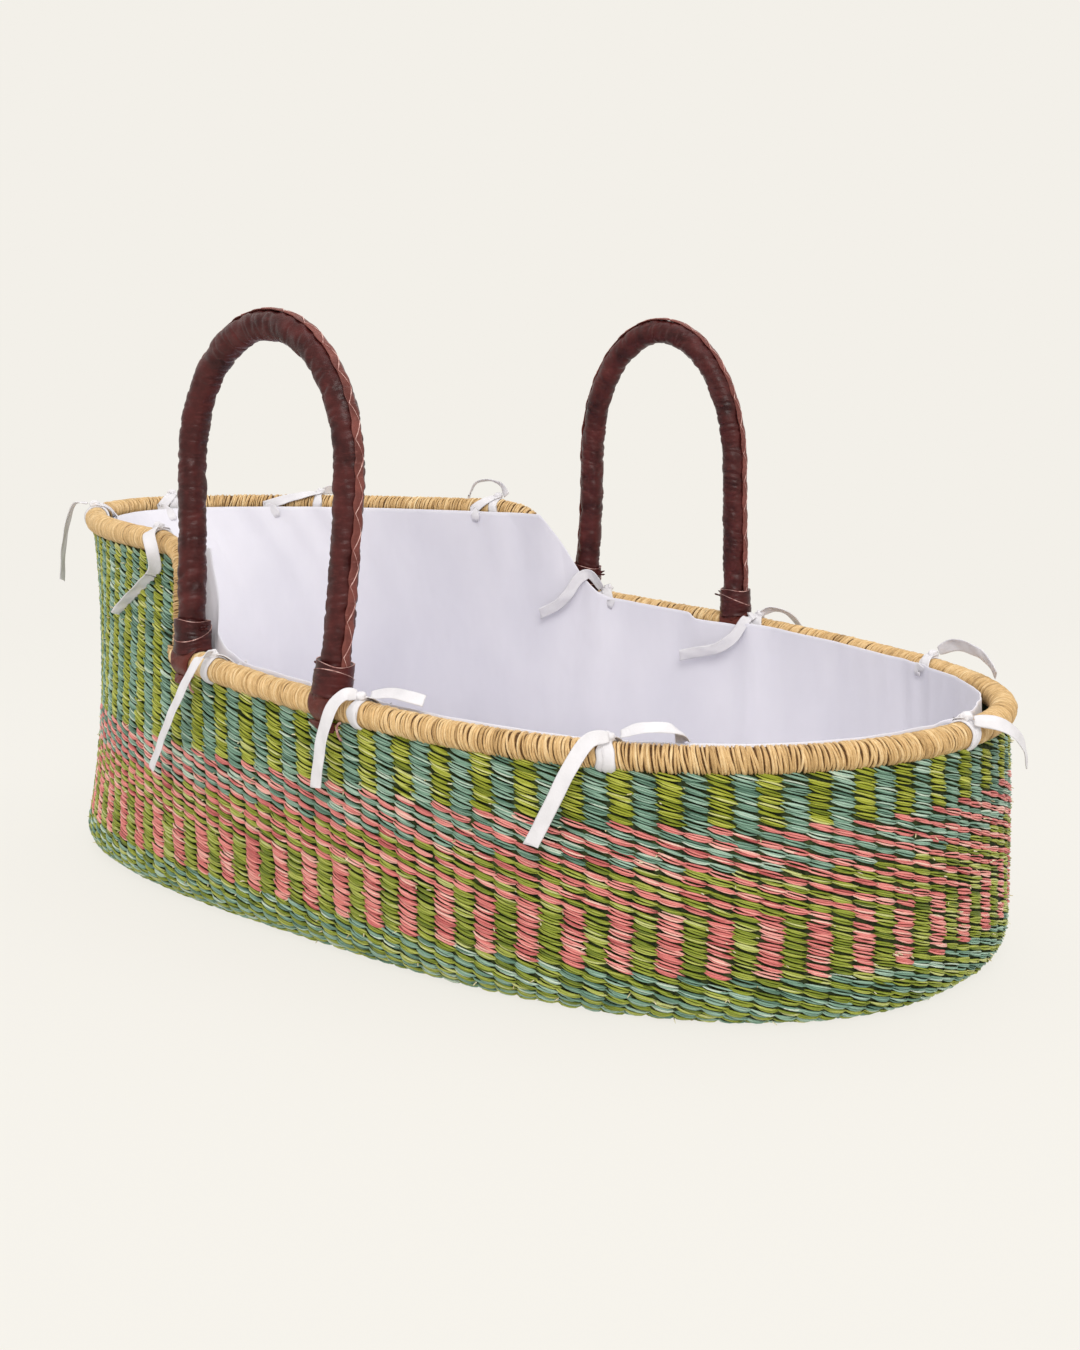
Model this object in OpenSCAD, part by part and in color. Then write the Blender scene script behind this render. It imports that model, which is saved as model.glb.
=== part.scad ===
// Moses basket: a twined oval grass basket with a raised hood at the head end, two arched
// leather carrying handles that swing on the rim, a tied-in cotton liner and a foam mattress.
// +X runs towards the foot end, +Z is up, and the base stands on Z = 0.

/* [Basket] */
// Distance from the frame's middle to the basket's widest station, towards the foot
widest_x = 85; // [75:1:95]
// Reach of the wall from the widest station to the foot end, at the base
foot_reach = 336; // [320:1:350]
// Reach of the wall from the widest station to the head end, at the base
head_reach = 446; // [430:1:460]
// Half of the wall's width at the base
half_width = 213; // [205:1:225]
// Height of the hood rim's centre line
hood_h = 264; // [255:1:275]
// Height of the low rim's centre line at the widest station
low_h = 177; // [170:1:185]
// Thickness of the woven wall
wall_t = 8; // [6:0.5:9]
// Thickness of the woven base
base_t = 8; // [6:0.5:9]
// Radius of the rounded edge between base and wall
edge_r = 20; // [16:1:22]

/* [Rim] */
// Radius of the wrapped rim coil
rim_r = 8.8; // [8:0.1:9]
// Radius of the grass bundle inside the coil
rim_core_r = 6; // [4:0.5:7]
// Radius of the thin binding down the hood's front edges
edge_binding_r = 5.5; // [4.5:0.5:6]

/* [Handles] */
// Height of each arch's centre line above the middle of its two feet
arch_h = 236; // [220:1:245]
// Half of the near arch's width; its legs bow out a little
near_arch_half = 86; // [80:1:90]
// Half of the far arch's width; its legs lean in a little
far_arch_half = 71.5; // [66:0.5:80]
// Height of the rounded top of the near arch
near_arch_rise = 92; // [80:1:110]
// Height of the rounded top of the far arch
far_arch_rise = 110; // [80:1:115]
// Radius of the leather-covered grip
grip_r = 9.7; // [9:0.1:11]
// Radius of the rope core
core_r = 7.4; // [6:0.1:8]
// Inward lean of the near handle at rest, in degrees
near_lean = 3; // [0:0.5:5]
// Inward lean of the far handle at rest, in degrees
far_lean = 1.5; // [0:0.5:5]

/* [Soft parts] */
// Thickness of the mattress foam
foam_t = 40; // [30:1:45]
// Half of the mattress's width
mattress_half_w = 188; // [180:1:188]
// Width of the cotton tie tape
tie_w = 10; // [9:0.5:11]
// Thickness of a tie tape, with its folded edges
tie_t = 1.4; // [1:0.1:2]

/* [Hidden] */
$fn = 48;

grass = [0.55, 0.66, 0.18];
straw = [0.80, 0.66, 0.40];
dark_leather = [0.30, 0.13, 0.12];
red_leather = [0.42, 0.17, 0.14];
pale_lace = [0.72, 0.48, 0.42];
cotton = [0.93, 0.92, 0.96];

// The wall narrows towards the foot, has a waist and a flare at the head, and bellies at the sides.
foot_taper = 9;
head_waist = 152;
head_flare = 205;
belly = 72;
tumble = 74;

// Angles round the rim, counted from the foot tip: handle feet and the ends of the hood's drop.
foot_side_station = 90;
head_side_station = 108;
drop_foot_station = 110.8;
drop_head_station = 113.1;
notch_half = 1.9;
dip_half = 2.25;
station_gap = 0.1;
// Extra height of the liner's edge, where it climbs past each head-side leg to the hood.
liner_climb = [[104.5, 0], [107.6, 14], [112.3, 66], [118, 90]];

rim_embed = 4;
notch_depth = 15.5;
hood_top_round = [[drop_head_station, 246], [114.2, 257], [115.6, 262], [118, hood_h]];

// Sleeve ring round the rim at each handle foot, and what stands on it.
ring_bore_r = 10.6;
ring_r = 13;
ring_w = 24;
neck_r = 12.6;
leg_start = 13.5;
collar_r = 13.5;
collar_h = 15;
lace_w = 5;
lace_t = 1.8;

liner_inset = 14;
liner_t = 2;
liner_rise = 6;
liner_dip = 10;
liner_low_z = 10;
floor_t = 1.5;
floor_z = 8.3;
floor_inset = 16.5;
mattress_z = 11;
cover_t = 1.5;
mattress_foot = 310;
mattress_head = 396;
mattress_power = 2.5;

// Stations of the twelve ties round the rim, in degrees from the foot tip.
tie_stations = [172, -153, 143.5, -118.5, 118.5, -104, 105, -86, 87, -55, 54, -1];
loop_t = 1.3;
loop_w = 11;
knot_r = 6.5;

function unit(v) = v / norm(v);
function spow(v, e) = sign(v) * pow(abs(v), e);
function level(z) = max(0, z - base_t) / (hood_h - base_t);
function reach(u, z) = cos(u) >= 0
    ? foot_reach - foot_taper * level(z)
    : head_reach - head_waist * level(z) + head_flare * pow(level(z), 2);
function side_reach(z) = half_width + belly * level(z) - tumble * pow(level(z), 2);
function squareness(u, z) = cos(u) >= 0 ? 2.32 - 0.22 * level(z) : 3.07 - 1.16 * level(z);

// A point of the wall's middle surface at angle u and height z, moved inwards by inset.
function wall_point(u, z, inset = 0) = let (e = 2 / squareness(u, z)) [
    widest_x + (reach(u, z) - inset) * spow(cos(u), e),
    (side_reach(z) - inset) * spow(sin(u), e),
    z
];
function outward(u, z) = unit(wall_point(u, z, -1) - wall_point(u, z, 0));

function low_rim_z(u) = low_h - 28.5 * cos(u) + 18 * pow(cos(u), 2);
function in_notch(u) =
    min(abs(abs(u) - foot_side_station), abs(abs(u) - head_side_station)) < notch_half;
function in_dip(u) = abs(abs(u) - foot_side_station) < dip_half;
function drop_edge_z(u) = lookup(abs(u),
    concat([[drop_foot_station, low_rim_z(drop_foot_station) + 6]], hood_top_round));
function rim_z(u) = abs(u) < drop_foot_station ? low_rim_z(u) : drop_edge_z(u);
function rim_centre(u) = wall_point(u, rim_z(u));

// Stations of a shell's columns, with close pairs at both edges of each cut beside a handle foot.
function cut_edges(station, half) = [
    for (h = [-half, half], g = [-1, 1]) station + h + g * station_gap
];
function both_sides(half) =
    concat([for (i = [len(half) - 2:-1:1]) -half[i]], half);
head_run = [for (u = [115:3:178]) u];
stations = both_sides(concat(
    [for (u = [0:3:87]) u], cut_edges(foot_side_station, notch_half),
    [for (u = [93:3:105]) u], cut_edges(head_side_station, notch_half),
    [drop_foot_station, 111.6, 112.4, drop_head_station], head_run, [180]));
liner_stations = both_sides(concat(
    [for (u = [0:3:87]) u], cut_edges(foot_side_station, dip_half),
    [93, 96, 99, 102, 104.5, 106, 107.6, 109.2, 110.8, 112.3], head_run, [180]));

// ---- Faceted shells and sweeps -------------------------------------------------------------

function quad(a, b, c, d) = [[a, b, c], [a, c, d]];

// Closed ring of columns; each column is a closed outline with the same number of points.
module ring_shell(columns) {
    n = len(columns);
    m = len(columns[0]);
    polyhedron(
        points = [for (c = columns) each c],
        faces = [for (j = [0:n - 1], k = [0:m - 1]) let (j2 = (j + 1) % n, k2 = (k + 1) % m)
            each quad(j * m + k, j * m + k2, j2 * m + k2, j2 * m + k)],
        convexity = 6);
}

function tangent(path, i) = unit(path[min(i + 1, len(path) - 1)] - path[max(i - 1, 0)]);
function ring_points(p, t, o, ra, rb, sides) = let (b = unit(cross(t, o)), n = cross(b, t))
    [for (k = [0:sides - 1]) let (a = 360 * k / sides) p + ra * cos(a) * n + rb * sin(a) * b];
function side_faces(n, m, first, flip) = [
    for (i = [0:n - 2], k = [0:m - 1]) let (k2 = (k + 1) % m,
        a = first + i * m + k, b = first + (i + 1) * m + k,
        c = first + (i + 1) * m + k2, d = first + i * m + k2)
    each flip ? quad(a, d, c, b) : quad(a, b, c, d)
];

// Solid sweep along a path; ra is the half size along the outward direction, rb across it.
module sweep(path, outs, ra, rb, sides) {
    n = len(path);
    points = [for (i = [0:n - 1])
        each ring_points(path[i], tangent(path, i), outs[i], ra[i], rb[i], sides)];
    polyhedron(
        points = points,
        faces = concat([[for (k = [0:sides - 1]) k]], side_faces(n, sides, 0, false),
            [[for (k = [sides - 1:-1:0]) (n - 1) * sides + k]]),
        convexity = 6);
}

// Tube with a round bore along a path, open at both ends.
module sleeve_sweep(path, outs, r_out, r_in, sides) {
    n = len(path);
    outer = [for (i = [0:n - 1])
        each ring_points(path[i], tangent(path, i), outs[i], r_out[i], r_out[i], sides)];
    inner = [for (i = [0:n - 1])
        each ring_points(path[i], tangent(path, i), outs[i], r_in[i], r_in[i], sides)];
    first = n * sides;
    last = (n - 1) * sides;
    polyhedron(
        points = concat(outer, inner),
        faces = concat(side_faces(n, sides, 0, false), side_faces(n, sides, first, true),
            [for (k = [0:sides - 1]) let (k2 = (k + 1) % sides)
                each quad(k, k2, first + k2, first + k)],
            [for (k = [0:sides - 1]) let (k2 = (k + 1) % sides)
                each quad(last + k, first + last + k, first + last + k2, last + k2)]),
        convexity = 6);
}

// ---- Woven basket --------------------------------------------------------------------------

function rounding(z, low, high, r) = z >= high ? 0
    : r * (1 - sqrt(max(0, 1 - pow((high - z) / (high - low), 2))));
edge_top = edge_r + 5;
base_inset = edge_r - wall_t / 2;

function wall_top(u) = abs(u) < drop_foot_station
    ? low_rim_z(u) - (in_notch(u) ? notch_depth : rim_embed)
    : drop_edge_z(u) - rim_embed;
outer_levels = [0, 2, 6, 13];
inner_levels = [14, 10, 8];
straight_steps = 6;

function wall_column(u) = let (top = wall_top(u)) concat(
    [for (z = outer_levels) wall_point(u, z, rounding(z, 0, edge_top, edge_r) - wall_t / 2)],
    [for (k = [0:straight_steps])
        wall_point(u, edge_top + (top - edge_top) * k / straight_steps, -wall_t / 2)],
    [for (k = [straight_steps:-1:0])
        wall_point(u, edge_top + (top - edge_top) * k / straight_steps, wall_t / 2)],
    [for (z = inner_levels)
        wall_point(u, z, rounding(z, base_t, edge_top, base_inset - wall_t / 2) + wall_t / 2)]);

module woven_wall() {
    color(grass) ring_shell([for (u = stations) wall_column(u)]);
}

function plan(u, inset) = let (p = wall_point(u, 0, inset)) [p[0], p[1]];

module woven_base() {
    color(grass) linear_extrude(base_t) polygon([for (u = stations) plan(u, base_inset)]);
}

// ---- Rim -----------------------------------------------------------------------------------

// Room left between the bundle and its wrapping, because both have flat sides.
wrap_gap = 0.6;
low_rim_steps = 78;
low_rim_stations = [for (i = [0:low_rim_steps])
    drop_foot_station * (2 * i / low_rim_steps - 1)];
hood_bend = [drop_foot_station, 111.2, 111.8, 112.4, drop_head_station, 114.2, 115.6];
hood_run_steps = 36;
hood_run_end = 360 - 118;
hood_stations = concat(hood_bend,
    [for (i = [0:hood_run_steps]) 118 + (hood_run_end - 118) * i / hood_run_steps],
    [for (i = [len(hood_bend) - 1:-1:0]) 360 - hood_bend[i]]);
function signed(u) = u > 180 ? u - 360 : u;
function hood_point(u) = wall_point(signed(u), drop_edge_z(signed(u)));
function hood_r(u, r_rim, r_edge) = lookup(abs(signed(u)),
    [[drop_head_station, r_edge], [118, r_rim]]);

low_rim_path = [for (u = low_rim_stations) wall_point(u, low_rim_z(u))];
low_rim_outs = [for (u = low_rim_stations) outward(u, low_rim_z(u))];
hood_path = [for (u = hood_stations) hood_point(u)];
hood_outs = [for (u = hood_stations) outward(signed(u), drop_edge_z(signed(u)))];

module low_rim_core() {
    r = [for (u = low_rim_stations) rim_core_r];
    color(straw) sweep(low_rim_path, low_rim_outs, r, r, 6);
}

module low_rim_wrap() {
    color(straw) sleeve_sweep(low_rim_path, low_rim_outs, [for (u = low_rim_stations) rim_r],
        [for (u = low_rim_stations) rim_core_r + wrap_gap], 10);
}

module hood_rim_core() {
    r = [for (u = hood_stations) hood_r(u, rim_core_r, edge_binding_r - 2)];
    color(straw) sweep(hood_path, hood_outs, r, r, 6);
}

module hood_rim_wrap() {
    color(straw) sleeve_sweep(hood_path, hood_outs,
        [for (u = hood_stations) hood_r(u, rim_r, edge_binding_r)],
        [for (u = hood_stations) hood_r(u, rim_core_r, edge_binding_r - 2) + wrap_gap], 10);
}

// ---- Handles -------------------------------------------------------------------------------
// side is -1 for the near handle and 1 for the far one. The hinge line runs through both feet.

function foot_at(side, station) = rim_centre(side * station);
function hinge_line(side) =
    foot_at(side, foot_side_station) - foot_at(side, head_side_station);
function hinge_middle(side) =
    (foot_at(side, foot_side_station) + foot_at(side, head_side_station)) / 2;
function feet_span(side) = let (h = hinge_line(side)) norm([h[0], h[1]]);
function yaw(side) = let (h = hinge_line(side)) atan2(h[1], h[0]);
function lean(side) = side < 0 ? near_lean : far_lean;
leg_rise = hinge_line(-1)[2] / 2;

module on_handle(side) {
    translate(hinge_middle(side)) rotate(a = side * lean(side), v = hinge_line(side))
        rotate([0, 0, yaw(side)]) children();
}

// Each handle's arch is half an ellipse, a little nearer the foot end than its feet. end is -1 at
// the head and 1 at the foot. A leg is straight inside its collar, then bends smoothly into the arch.
near_arch_shift = 6.5;
far_arch_shift = 4;
knee_share = 0.7;
leg_straight = leg_start + collar_h + 1;
function arch_half(side) = side < 0 ? near_arch_half : far_arch_half;
function arch_rise(side) = side < 0 ? near_arch_rise : far_arch_rise;
function arch_shift(side) = side < 0 ? near_arch_shift : far_arch_shift;
function arch_z(side) = arch_h - arch_rise(side);
function leg_end(side, end) = [end * feet_span(side) / 2, 0, end * leg_rise];
function leg_top(side, end) = [arch_shift(side) + end * arch_half(side), 0, arch_z(side)];
function leg_knee(side, end) = leg_top(side, end) - [0, 0, (1 - knee_share) * arch_z(side)];
function leg_axis(side, end) = unit(leg_knee(side, end) - leg_end(side, end));
function leg_angle(side, end) = let (d = leg_axis(side, end)) atan2(d[0], d[2]);

// Places children at a handle foot with +Z running up the leg.
module on_leg(side, end) {
    translate(leg_end(side, end)) rotate([0, leg_angle(side, end), 0]) children();
}

// The handle's centre line in its own frame: up one leg, over the arch and down the other leg.
// Each entry is a point and the direction outwards from it.
arch_steps = 20;
leg_steps = 5;
function outward_of(end, d) = end * [d[2], 0, -d[0]];
function leg_foot(side, end, start) = let (d = leg_axis(side, end))
    [leg_end(side, end) + start * d, outward_of(end, d)];
function leg_bend(side, end, k) = let (a = leg_foot(side, end, leg_straight)[0],
    b = leg_knee(side, end), c = leg_top(side, end), t = k / leg_steps)
    [(1 - t) * (1 - t) * a + 2 * t * (1 - t) * b + t * t * c,
        outward_of(end, unit((1 - t) * (b - a) + t * (c - b)))];
function arch_entry(side, k) = let (a = 180 - 180 * k / arch_steps)
    [[arch_shift(side) + arch_half(side) * cos(a), 0, arch_z(side) + arch_rise(side) * sin(a)],
        unit([arch_rise(side) * cos(a), 0, arch_half(side) * sin(a)])];
function handle_line(side, start) = concat(
    start < leg_straight ? [leg_foot(side, -1, start)] : [],
    [for (k = [0:leg_steps - 1]) leg_bend(side, -1, k)],
    [for (k = [0:arch_steps]) arch_entry(side, k)],
    [for (k = [leg_steps - 1:-1:0]) leg_bend(side, 1, k)],
    start < leg_straight ? [leg_foot(side, 1, start)] : []);
function line_points(line, off) = [for (e = line) e[0] + off * e[1]];
function line_outs(line) = [for (e = line) e[1]];

module handle_core(side) {
    line = handle_line(side, leg_start);
    r = [for (e = line) core_r];
    color(straw) on_handle(side) sweep(line_points(line, 0), line_outs(line), r, r, 8);
}

module handle_leather(side) {
    line = handle_line(side, leg_start);
    color(dark_leather) on_handle(side) sleeve_sweep(line_points(line, 0), line_outs(line),
        [for (e = line) grip_r], [for (e = line) core_r + wrap_gap], 10);
}

// Flat seam of lacing along the outer side of the grip, between the two collars.
module handle_lacing(side) {
    line = handle_line(side, leg_straight);
    color(pale_lace) on_handle(side) sweep(line_points(line, grip_r + lace_t / 2 + 0.05),
        line_outs(line), [for (e = line) lace_t / 2], [for (e = line) lace_w / 2], 8);
}

module collar(side, end) {
    color(dark_leather) on_handle(side) on_leg(side, end) translate([0, 0, leg_start + 0.5])
        difference() {
            cylinder(r = collar_r, h = collar_h);
            translate([0, 0, -1]) cylinder(r = grip_r + 0.1, h = collar_h + 2);
        }
}

module along_hinge(side, station, length) {
    h = hinge_line(side);
    translate(foot_at(side, station)) rotate([0, 0, atan2(h[1], h[0])])
        rotate([0, 90 - asin(h[2] / norm(h)), 0]) translate([0, 0, -length / 2]) children();
}

module rim_sleeve(side, end) {
    station = end > 0 ? foot_side_station : head_side_station;
    color(red_leather) difference() {
        union() {
            along_hinge(side, station, ring_w) cylinder(r = ring_r, h = ring_w);
            on_handle(side) on_leg(side, end) cylinder(r = neck_r, h = leg_start);
        }
        along_hinge(side, station, ring_w + 20) cylinder(r = ring_bore_r, h = ring_w + 20);
    }
}

module thong_ends(side) {
    color(dark_leather) on_handle(side) for (end = [-1, 1]) on_leg(side, end)
        translate([end > 0 ? -collar_r - 7 : collar_r + 0.1, -2.5, leg_start + 9])
            cube([6.9, 5, 4]);
}

// Leather tongue laid on the wall below the rim at each handle foot, narrower at its lower end.
tongue_t = 2.6;
tongue_top = 14.5;
tongue_low = 22;
tongue_steps = 3;
function tongue_half(k) = 10.5 - 4 * pow(k / tongue_steps, 1.4);
module tongue(side, station) {
    top = low_rim_z(station);
    step = (tongue_low - tongue_top) / tongue_steps;
    path = [for (k = [0:tongue_steps])
        wall_point(side * station, top - tongue_top - step * k, -wall_t / 2 - tongue_t / 2 - 0.6)];
    outs = [for (k = [0:tongue_steps]) outward(side * station, top - tongue_top - step * k)];
    sweep(path, outs, [for (k = [0:tongue_steps]) tongue_t / 2],
        [for (k = [0:tongue_steps]) tongue_half(k)], 8);
}

module leather_tongues(side) {
    color(red_leather) {
        tongue(side, foot_side_station);
        tongue(side, head_side_station);
    }
}

// Small leather loop sewn through the wall beside each tongue.
module tongue_stitches() {
    color(dark_leather) for (side = [-1, 1], station = [foot_side_station, head_side_station]) {
        p = wall_point(side * (station - 1.9), low_rim_z(station) - 19, -wall_t / 2);
        translate(p) rotate([0, 90, 0]) rotate([0, 0, side > 0 ? 90 : -90])
            rotate_extrude(angle = 180) translate([4.5, 0]) circle(1.1);
    }
}

// ---- Liner and mattress --------------------------------------------------------------------

function liner_top(u) = in_dip(u) ? low_rim_z(u) - liner_dip
    : min(hood_h - 2, low_rim_z(u) + liner_rise + lookup(abs(u), liner_climb));
liner_steps = 4;
function liner_column(u) = let (top = liner_top(u)) concat(
    [for (k = [0:liner_steps])
        wall_point(u, liner_low_z + (top - liner_low_z) * k / liner_steps, liner_inset)],
    [for (k = [liner_steps:-1:0])
        wall_point(u, liner_low_z + (top - liner_low_z) * k / liner_steps, liner_inset + liner_t)]);

module liner_wall() {
    color(cotton) ring_shell([for (u = liner_stations) liner_column(u)]);
}

module liner_floor() {
    color(cotton) translate([0, 0, floor_z]) linear_extrude(floor_t)
        polygon([for (u = stations) plan(u, floor_inset)]);
}

function mattress_plan(u, inset) = let (e = 2 / mattress_power) [
    widest_x + ((cos(u) >= 0 ? mattress_foot : mattress_head) - inset) * spow(cos(u), e),
    (mattress_half_w - inset) * spow(sin(u), e)
];
mattress_stations = [for (u = [-177:3:180]) u];

module mattress_slab(inset, h) {
    linear_extrude(h) polygon([for (u = mattress_stations) mattress_plan(u, inset)]);
}

module mattress_foam() {
    color("khaki") translate([0, 0, mattress_z]) mattress_slab(cover_t, foam_t);
}

module mattress_cover() {
    color(cotton) translate([0, 0, mattress_z]) difference() {
        mattress_slab(0, foam_t + cover_t);
        translate([0, 0, -1]) mattress_slab(cover_t, foam_t + 1);
    }
}

// ---- Ties ----------------------------------------------------------------------------------

// Tape looped once round the rim at each station, with its knot on top of the rim.
module tie_loop(u) {
    p = rim_centre(u);
    d = unit(rim_centre(u + 0.5) - rim_centre(u - 0.5));
    translate(p) rotate([0, 0, atan2(d[1], d[0])]) rotate([0, 90 - asin(d[2]), 0]) {
        translate([0, 0, -loop_w / 2]) difference() {
            cylinder(r = rim_r + loop_t, h = loop_w);
            translate([0, 0, -1]) cylinder(r = rim_r + 0.1, h = loop_w + 2);
        }
    }
    translate(p + [0, 0, rim_r + 2.2] + 3 * outward(u, p[2])) sphere(knot_r - 2);
}

module tie_loops() {
    color(cotton) for (u = tie_stations) tie_loop(u);
}

// Routes of the free tape ends, from the knot to the cut end.
head_tip_tail = [[-404, 32, 278], [-412, 44, 277], [-417, 54, 264], [-416, 58, 242], [-415, 60, 215]];
near_head_tail = [[-362, -99, 276], [-371, -104, 276], [-376, -108, 264], [-380, -112, 240],
    [-381, -114, 210]];
far_head_tail = [[-312, 126, 276], [-308, 139, 276], [-306, 149, 262], [-305, 153, 238],
    [-305, 155, 212]];
near_hood_tail = [[-140, -190, 276], [-134, -203, 272], [-127, -206, 260], [-132, -201, 246],
    [-151, -198.5, 233.5], [-174, -195.5, 220], [-198, -189.5, 206]];
far_hood_tail = [[-138, 189, 276], [-146, 190, 285], [-158, 187, 289], [-170, 184, 286],
    [-179, 185, 276], [-184, 188, 263]];
near_mid_tail = [[-38, -226, 197], [-37, -238, 195], [-42, -246, 180], [-54, -249, 158],
    [-68, -249, 135], [-84, -247, 113]];
far_mid_tail = [[-47, 212, 197], [-53, 204, 210], [-61, 197, 206], [-71, 193.5, 191], [-84, 192, 180],
    [-99, 189, 173]];
near_side_tail = [[114, -232, 188], [111, -241, 188.5], [108, -249, 180], [101, -252, 158],
    [93, -251, 128]];
near_side_tail_2 = [[122, -228, 188], [136, -223, 190], [148, -220.7, 189.4], [160, -218.5, 187.6]];
far_side_tail = [[107, 222, 187], [106, 211.5, 184], [99, 205.5, 170], [84, 203, 159], [66, 203, 154],
    [46, 202, 149]];
far_side_tail_2 = [[110, 229, 188], [119, 232, 192], [129, 237, 189], [137, 242, 180],
    [142, 244, 168], [145, 244, 155]];
near_foot_tail = [[288, -196, 179], [283, -208, 178], [277, -218, 163], [268, -225, 140],
    [256, -229, 115]];
near_foot_tail_2 = [[292, -190, 180], [302, -186, 184], [311, -177, 185], [315, -166, 182],
    [312, -156, 174], [306.5, -152, 165]];
far_foot_tail = [[294, 189, 181], [310, 183, 188], [329, 172, 188], [348, 158, 184],
    [361, 147, 176]];
foot_tip_tail = [[424, -9, 177], [433, 2, 175], [439, 14, 168], [440, 26, 158],
    [438, 37, 145]];

// Smooth curve through the route points, with a few steps between each pair.
route_steps = 2;
function spline_point(a, b, c, d, t) = 0.5 * (2 * b + (c - a) * t
    + (2 * a - 5 * b + 4 * c - d) * t * t + (3 * b - a - 3 * c + d) * t * t * t);
function smooth_route(r) = concat(
    [for (i = [0:len(r) - 2], k = [0:route_steps - 1])
        spline_point(r[max(i - 1, 0)], r[i], r[i + 1], r[min(i + 2, len(r) - 1)], k / route_steps)],
    [r[len(r) - 1]]);

module tie_tail(route) {
    path = smooth_route(route);
    outs = [for (p = path) unit([p[0] * 0.45 - 20, p[1], 60])];
    color(cotton) sweep(path, outs, [for (p = path) tie_t / 2], [for (p = path) tie_w / 2], 8);
}

woven_base();
woven_wall();
low_rim_core();
low_rim_wrap();
hood_rim_core();
hood_rim_wrap();
handle_core(-1);  // near_handle_core
handle_leather(-1);  // near_handle_leather
handle_lacing(-1);  // near_handle_lacing
collar(-1, -1);  // near_head_collar
collar(-1, 1);  // near_foot_collar
rim_sleeve(-1, -1);  // near_head_sleeve
rim_sleeve(-1, 1);  // near_foot_sleeve
thong_ends(-1);  // near_thong_ends
handle_core(1);  // far_handle_core
handle_leather(1);  // far_handle_leather
handle_lacing(1);  // far_handle_lacing
collar(1, -1);  // far_head_collar
collar(1, 1);  // far_foot_collar
rim_sleeve(1, -1);  // far_head_sleeve
rim_sleeve(1, 1);  // far_foot_sleeve
thong_ends(1);  // far_thong_ends
leather_tongues(-1);  // near_leather_tongues
leather_tongues(1);  // far_leather_tongues
tongue_stitches();
liner_wall();
liner_floor();
mattress_foam();
mattress_cover();
tie_loops();
tie_tail(head_tip_tail);  // head_tip_tie_tail
tie_tail(near_head_tail);  // near_head_tie_tail
tie_tail(far_head_tail);  // far_head_tie_tail
tie_tail(near_hood_tail);  // near_hood_tie_tail
tie_tail(far_hood_tail);  // far_hood_tie_tail
tie_tail(near_mid_tail);  // near_mid_tie_tail
tie_tail(far_mid_tail);  // far_mid_tie_tail
tie_tail(near_side_tail);  // near_side_tie_tail
tie_tail(near_side_tail_2);  // near_side_tie_tail_2
tie_tail(far_side_tail);  // far_side_tie_tail
tie_tail(far_side_tail_2);  // far_side_tie_tail_2
tie_tail(near_foot_tail);  // near_foot_tie_tail
tie_tail(near_foot_tail_2);  // near_foot_tie_tail_2
tie_tail(far_foot_tail);  // far_foot_tie_tail
tie_tail(foot_tip_tail);  // foot_tip_tie_tail
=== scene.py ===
import math

import bpy
import numpy as np
from mathutils import Matrix, Vector, noise


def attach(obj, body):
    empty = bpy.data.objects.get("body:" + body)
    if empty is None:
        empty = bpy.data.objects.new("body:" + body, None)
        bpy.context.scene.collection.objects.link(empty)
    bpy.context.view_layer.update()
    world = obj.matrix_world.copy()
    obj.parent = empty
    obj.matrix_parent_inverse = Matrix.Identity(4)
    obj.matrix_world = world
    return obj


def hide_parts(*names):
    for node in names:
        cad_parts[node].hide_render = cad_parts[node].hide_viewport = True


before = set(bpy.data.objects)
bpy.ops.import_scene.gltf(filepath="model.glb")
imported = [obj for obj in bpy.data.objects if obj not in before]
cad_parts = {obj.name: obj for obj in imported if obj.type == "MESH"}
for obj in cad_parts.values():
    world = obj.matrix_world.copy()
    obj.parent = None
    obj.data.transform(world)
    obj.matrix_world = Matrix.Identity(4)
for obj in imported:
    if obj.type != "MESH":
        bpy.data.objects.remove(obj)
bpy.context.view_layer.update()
rng = np.random.default_rng(11)

# ---- The basket's shape, as part.scad states it (millimetres and degrees) --------------------
WIDEST_X, FOOT_REACH, HEAD_REACH, HALF_WIDTH = 85.0, 336.0, 446.0, 213.0
HOOD_H, LOW_H, WALL_T, BASE_T, EDGE_R = 264.0, 177.0, 8.0, 8.0, 20.0
EDGE_TOP = EDGE_R + 5
RIM_R, BINDING_R = 8.8, 5.5
ARCH_H, GRIP_R, KNEE_SHARE = 236.0, 9.7, 0.7
ARCH_HALF, ARCH_RISE, ARCH_SHIFT = {-1: 86.0, 1: 71.5}, {-1: 92.0, 1: 110.0}, {-1: 6.5, 1: 4.0}
LEAN = {-1: 3.0, 1: 1.5}
FOOT_STATION, HEAD_STATION = 90.0, 108.0
DROP_FOOT, DROP_HEAD = 110.8, 113.1
LEG_START, COLLAR_R, COLLAR_H = 13.5, 13.5, 15.0
LEG_STRAIGHT = LEG_START + COLLAR_H + 1
LINER_INSET, LINER_RISE, LINER_DIP, LINER_LOW = 14.0, 6.0, 10.0, 10.0
MATTRESS_Z, FOAM_T = 11.0, 40.0
MATTRESS_TOP = MATTRESS_Z + FOAM_T
MATTRESS_FOOT, MATTRESS_HEAD, MATTRESS_HALF_W, MATTRESS_POWER = 310.0, 396.0, 188.0, 2.5
TIE_STATIONS = [172, -153, 143.5, -118.5, 118.5, -104, 105, -86, 87, -55, 54, -1]
TIE_W = 10.0
MIDDLE_X = 40.0


def spow(a, e):
    """Power that keeps the sign."""
    return np.sign(a) * np.abs(a) ** e


def level(z):
    """Share of the height from the base to the hood's rim."""
    return np.maximum(0, z - BASE_T) / (HOOD_H - BASE_T)


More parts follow.
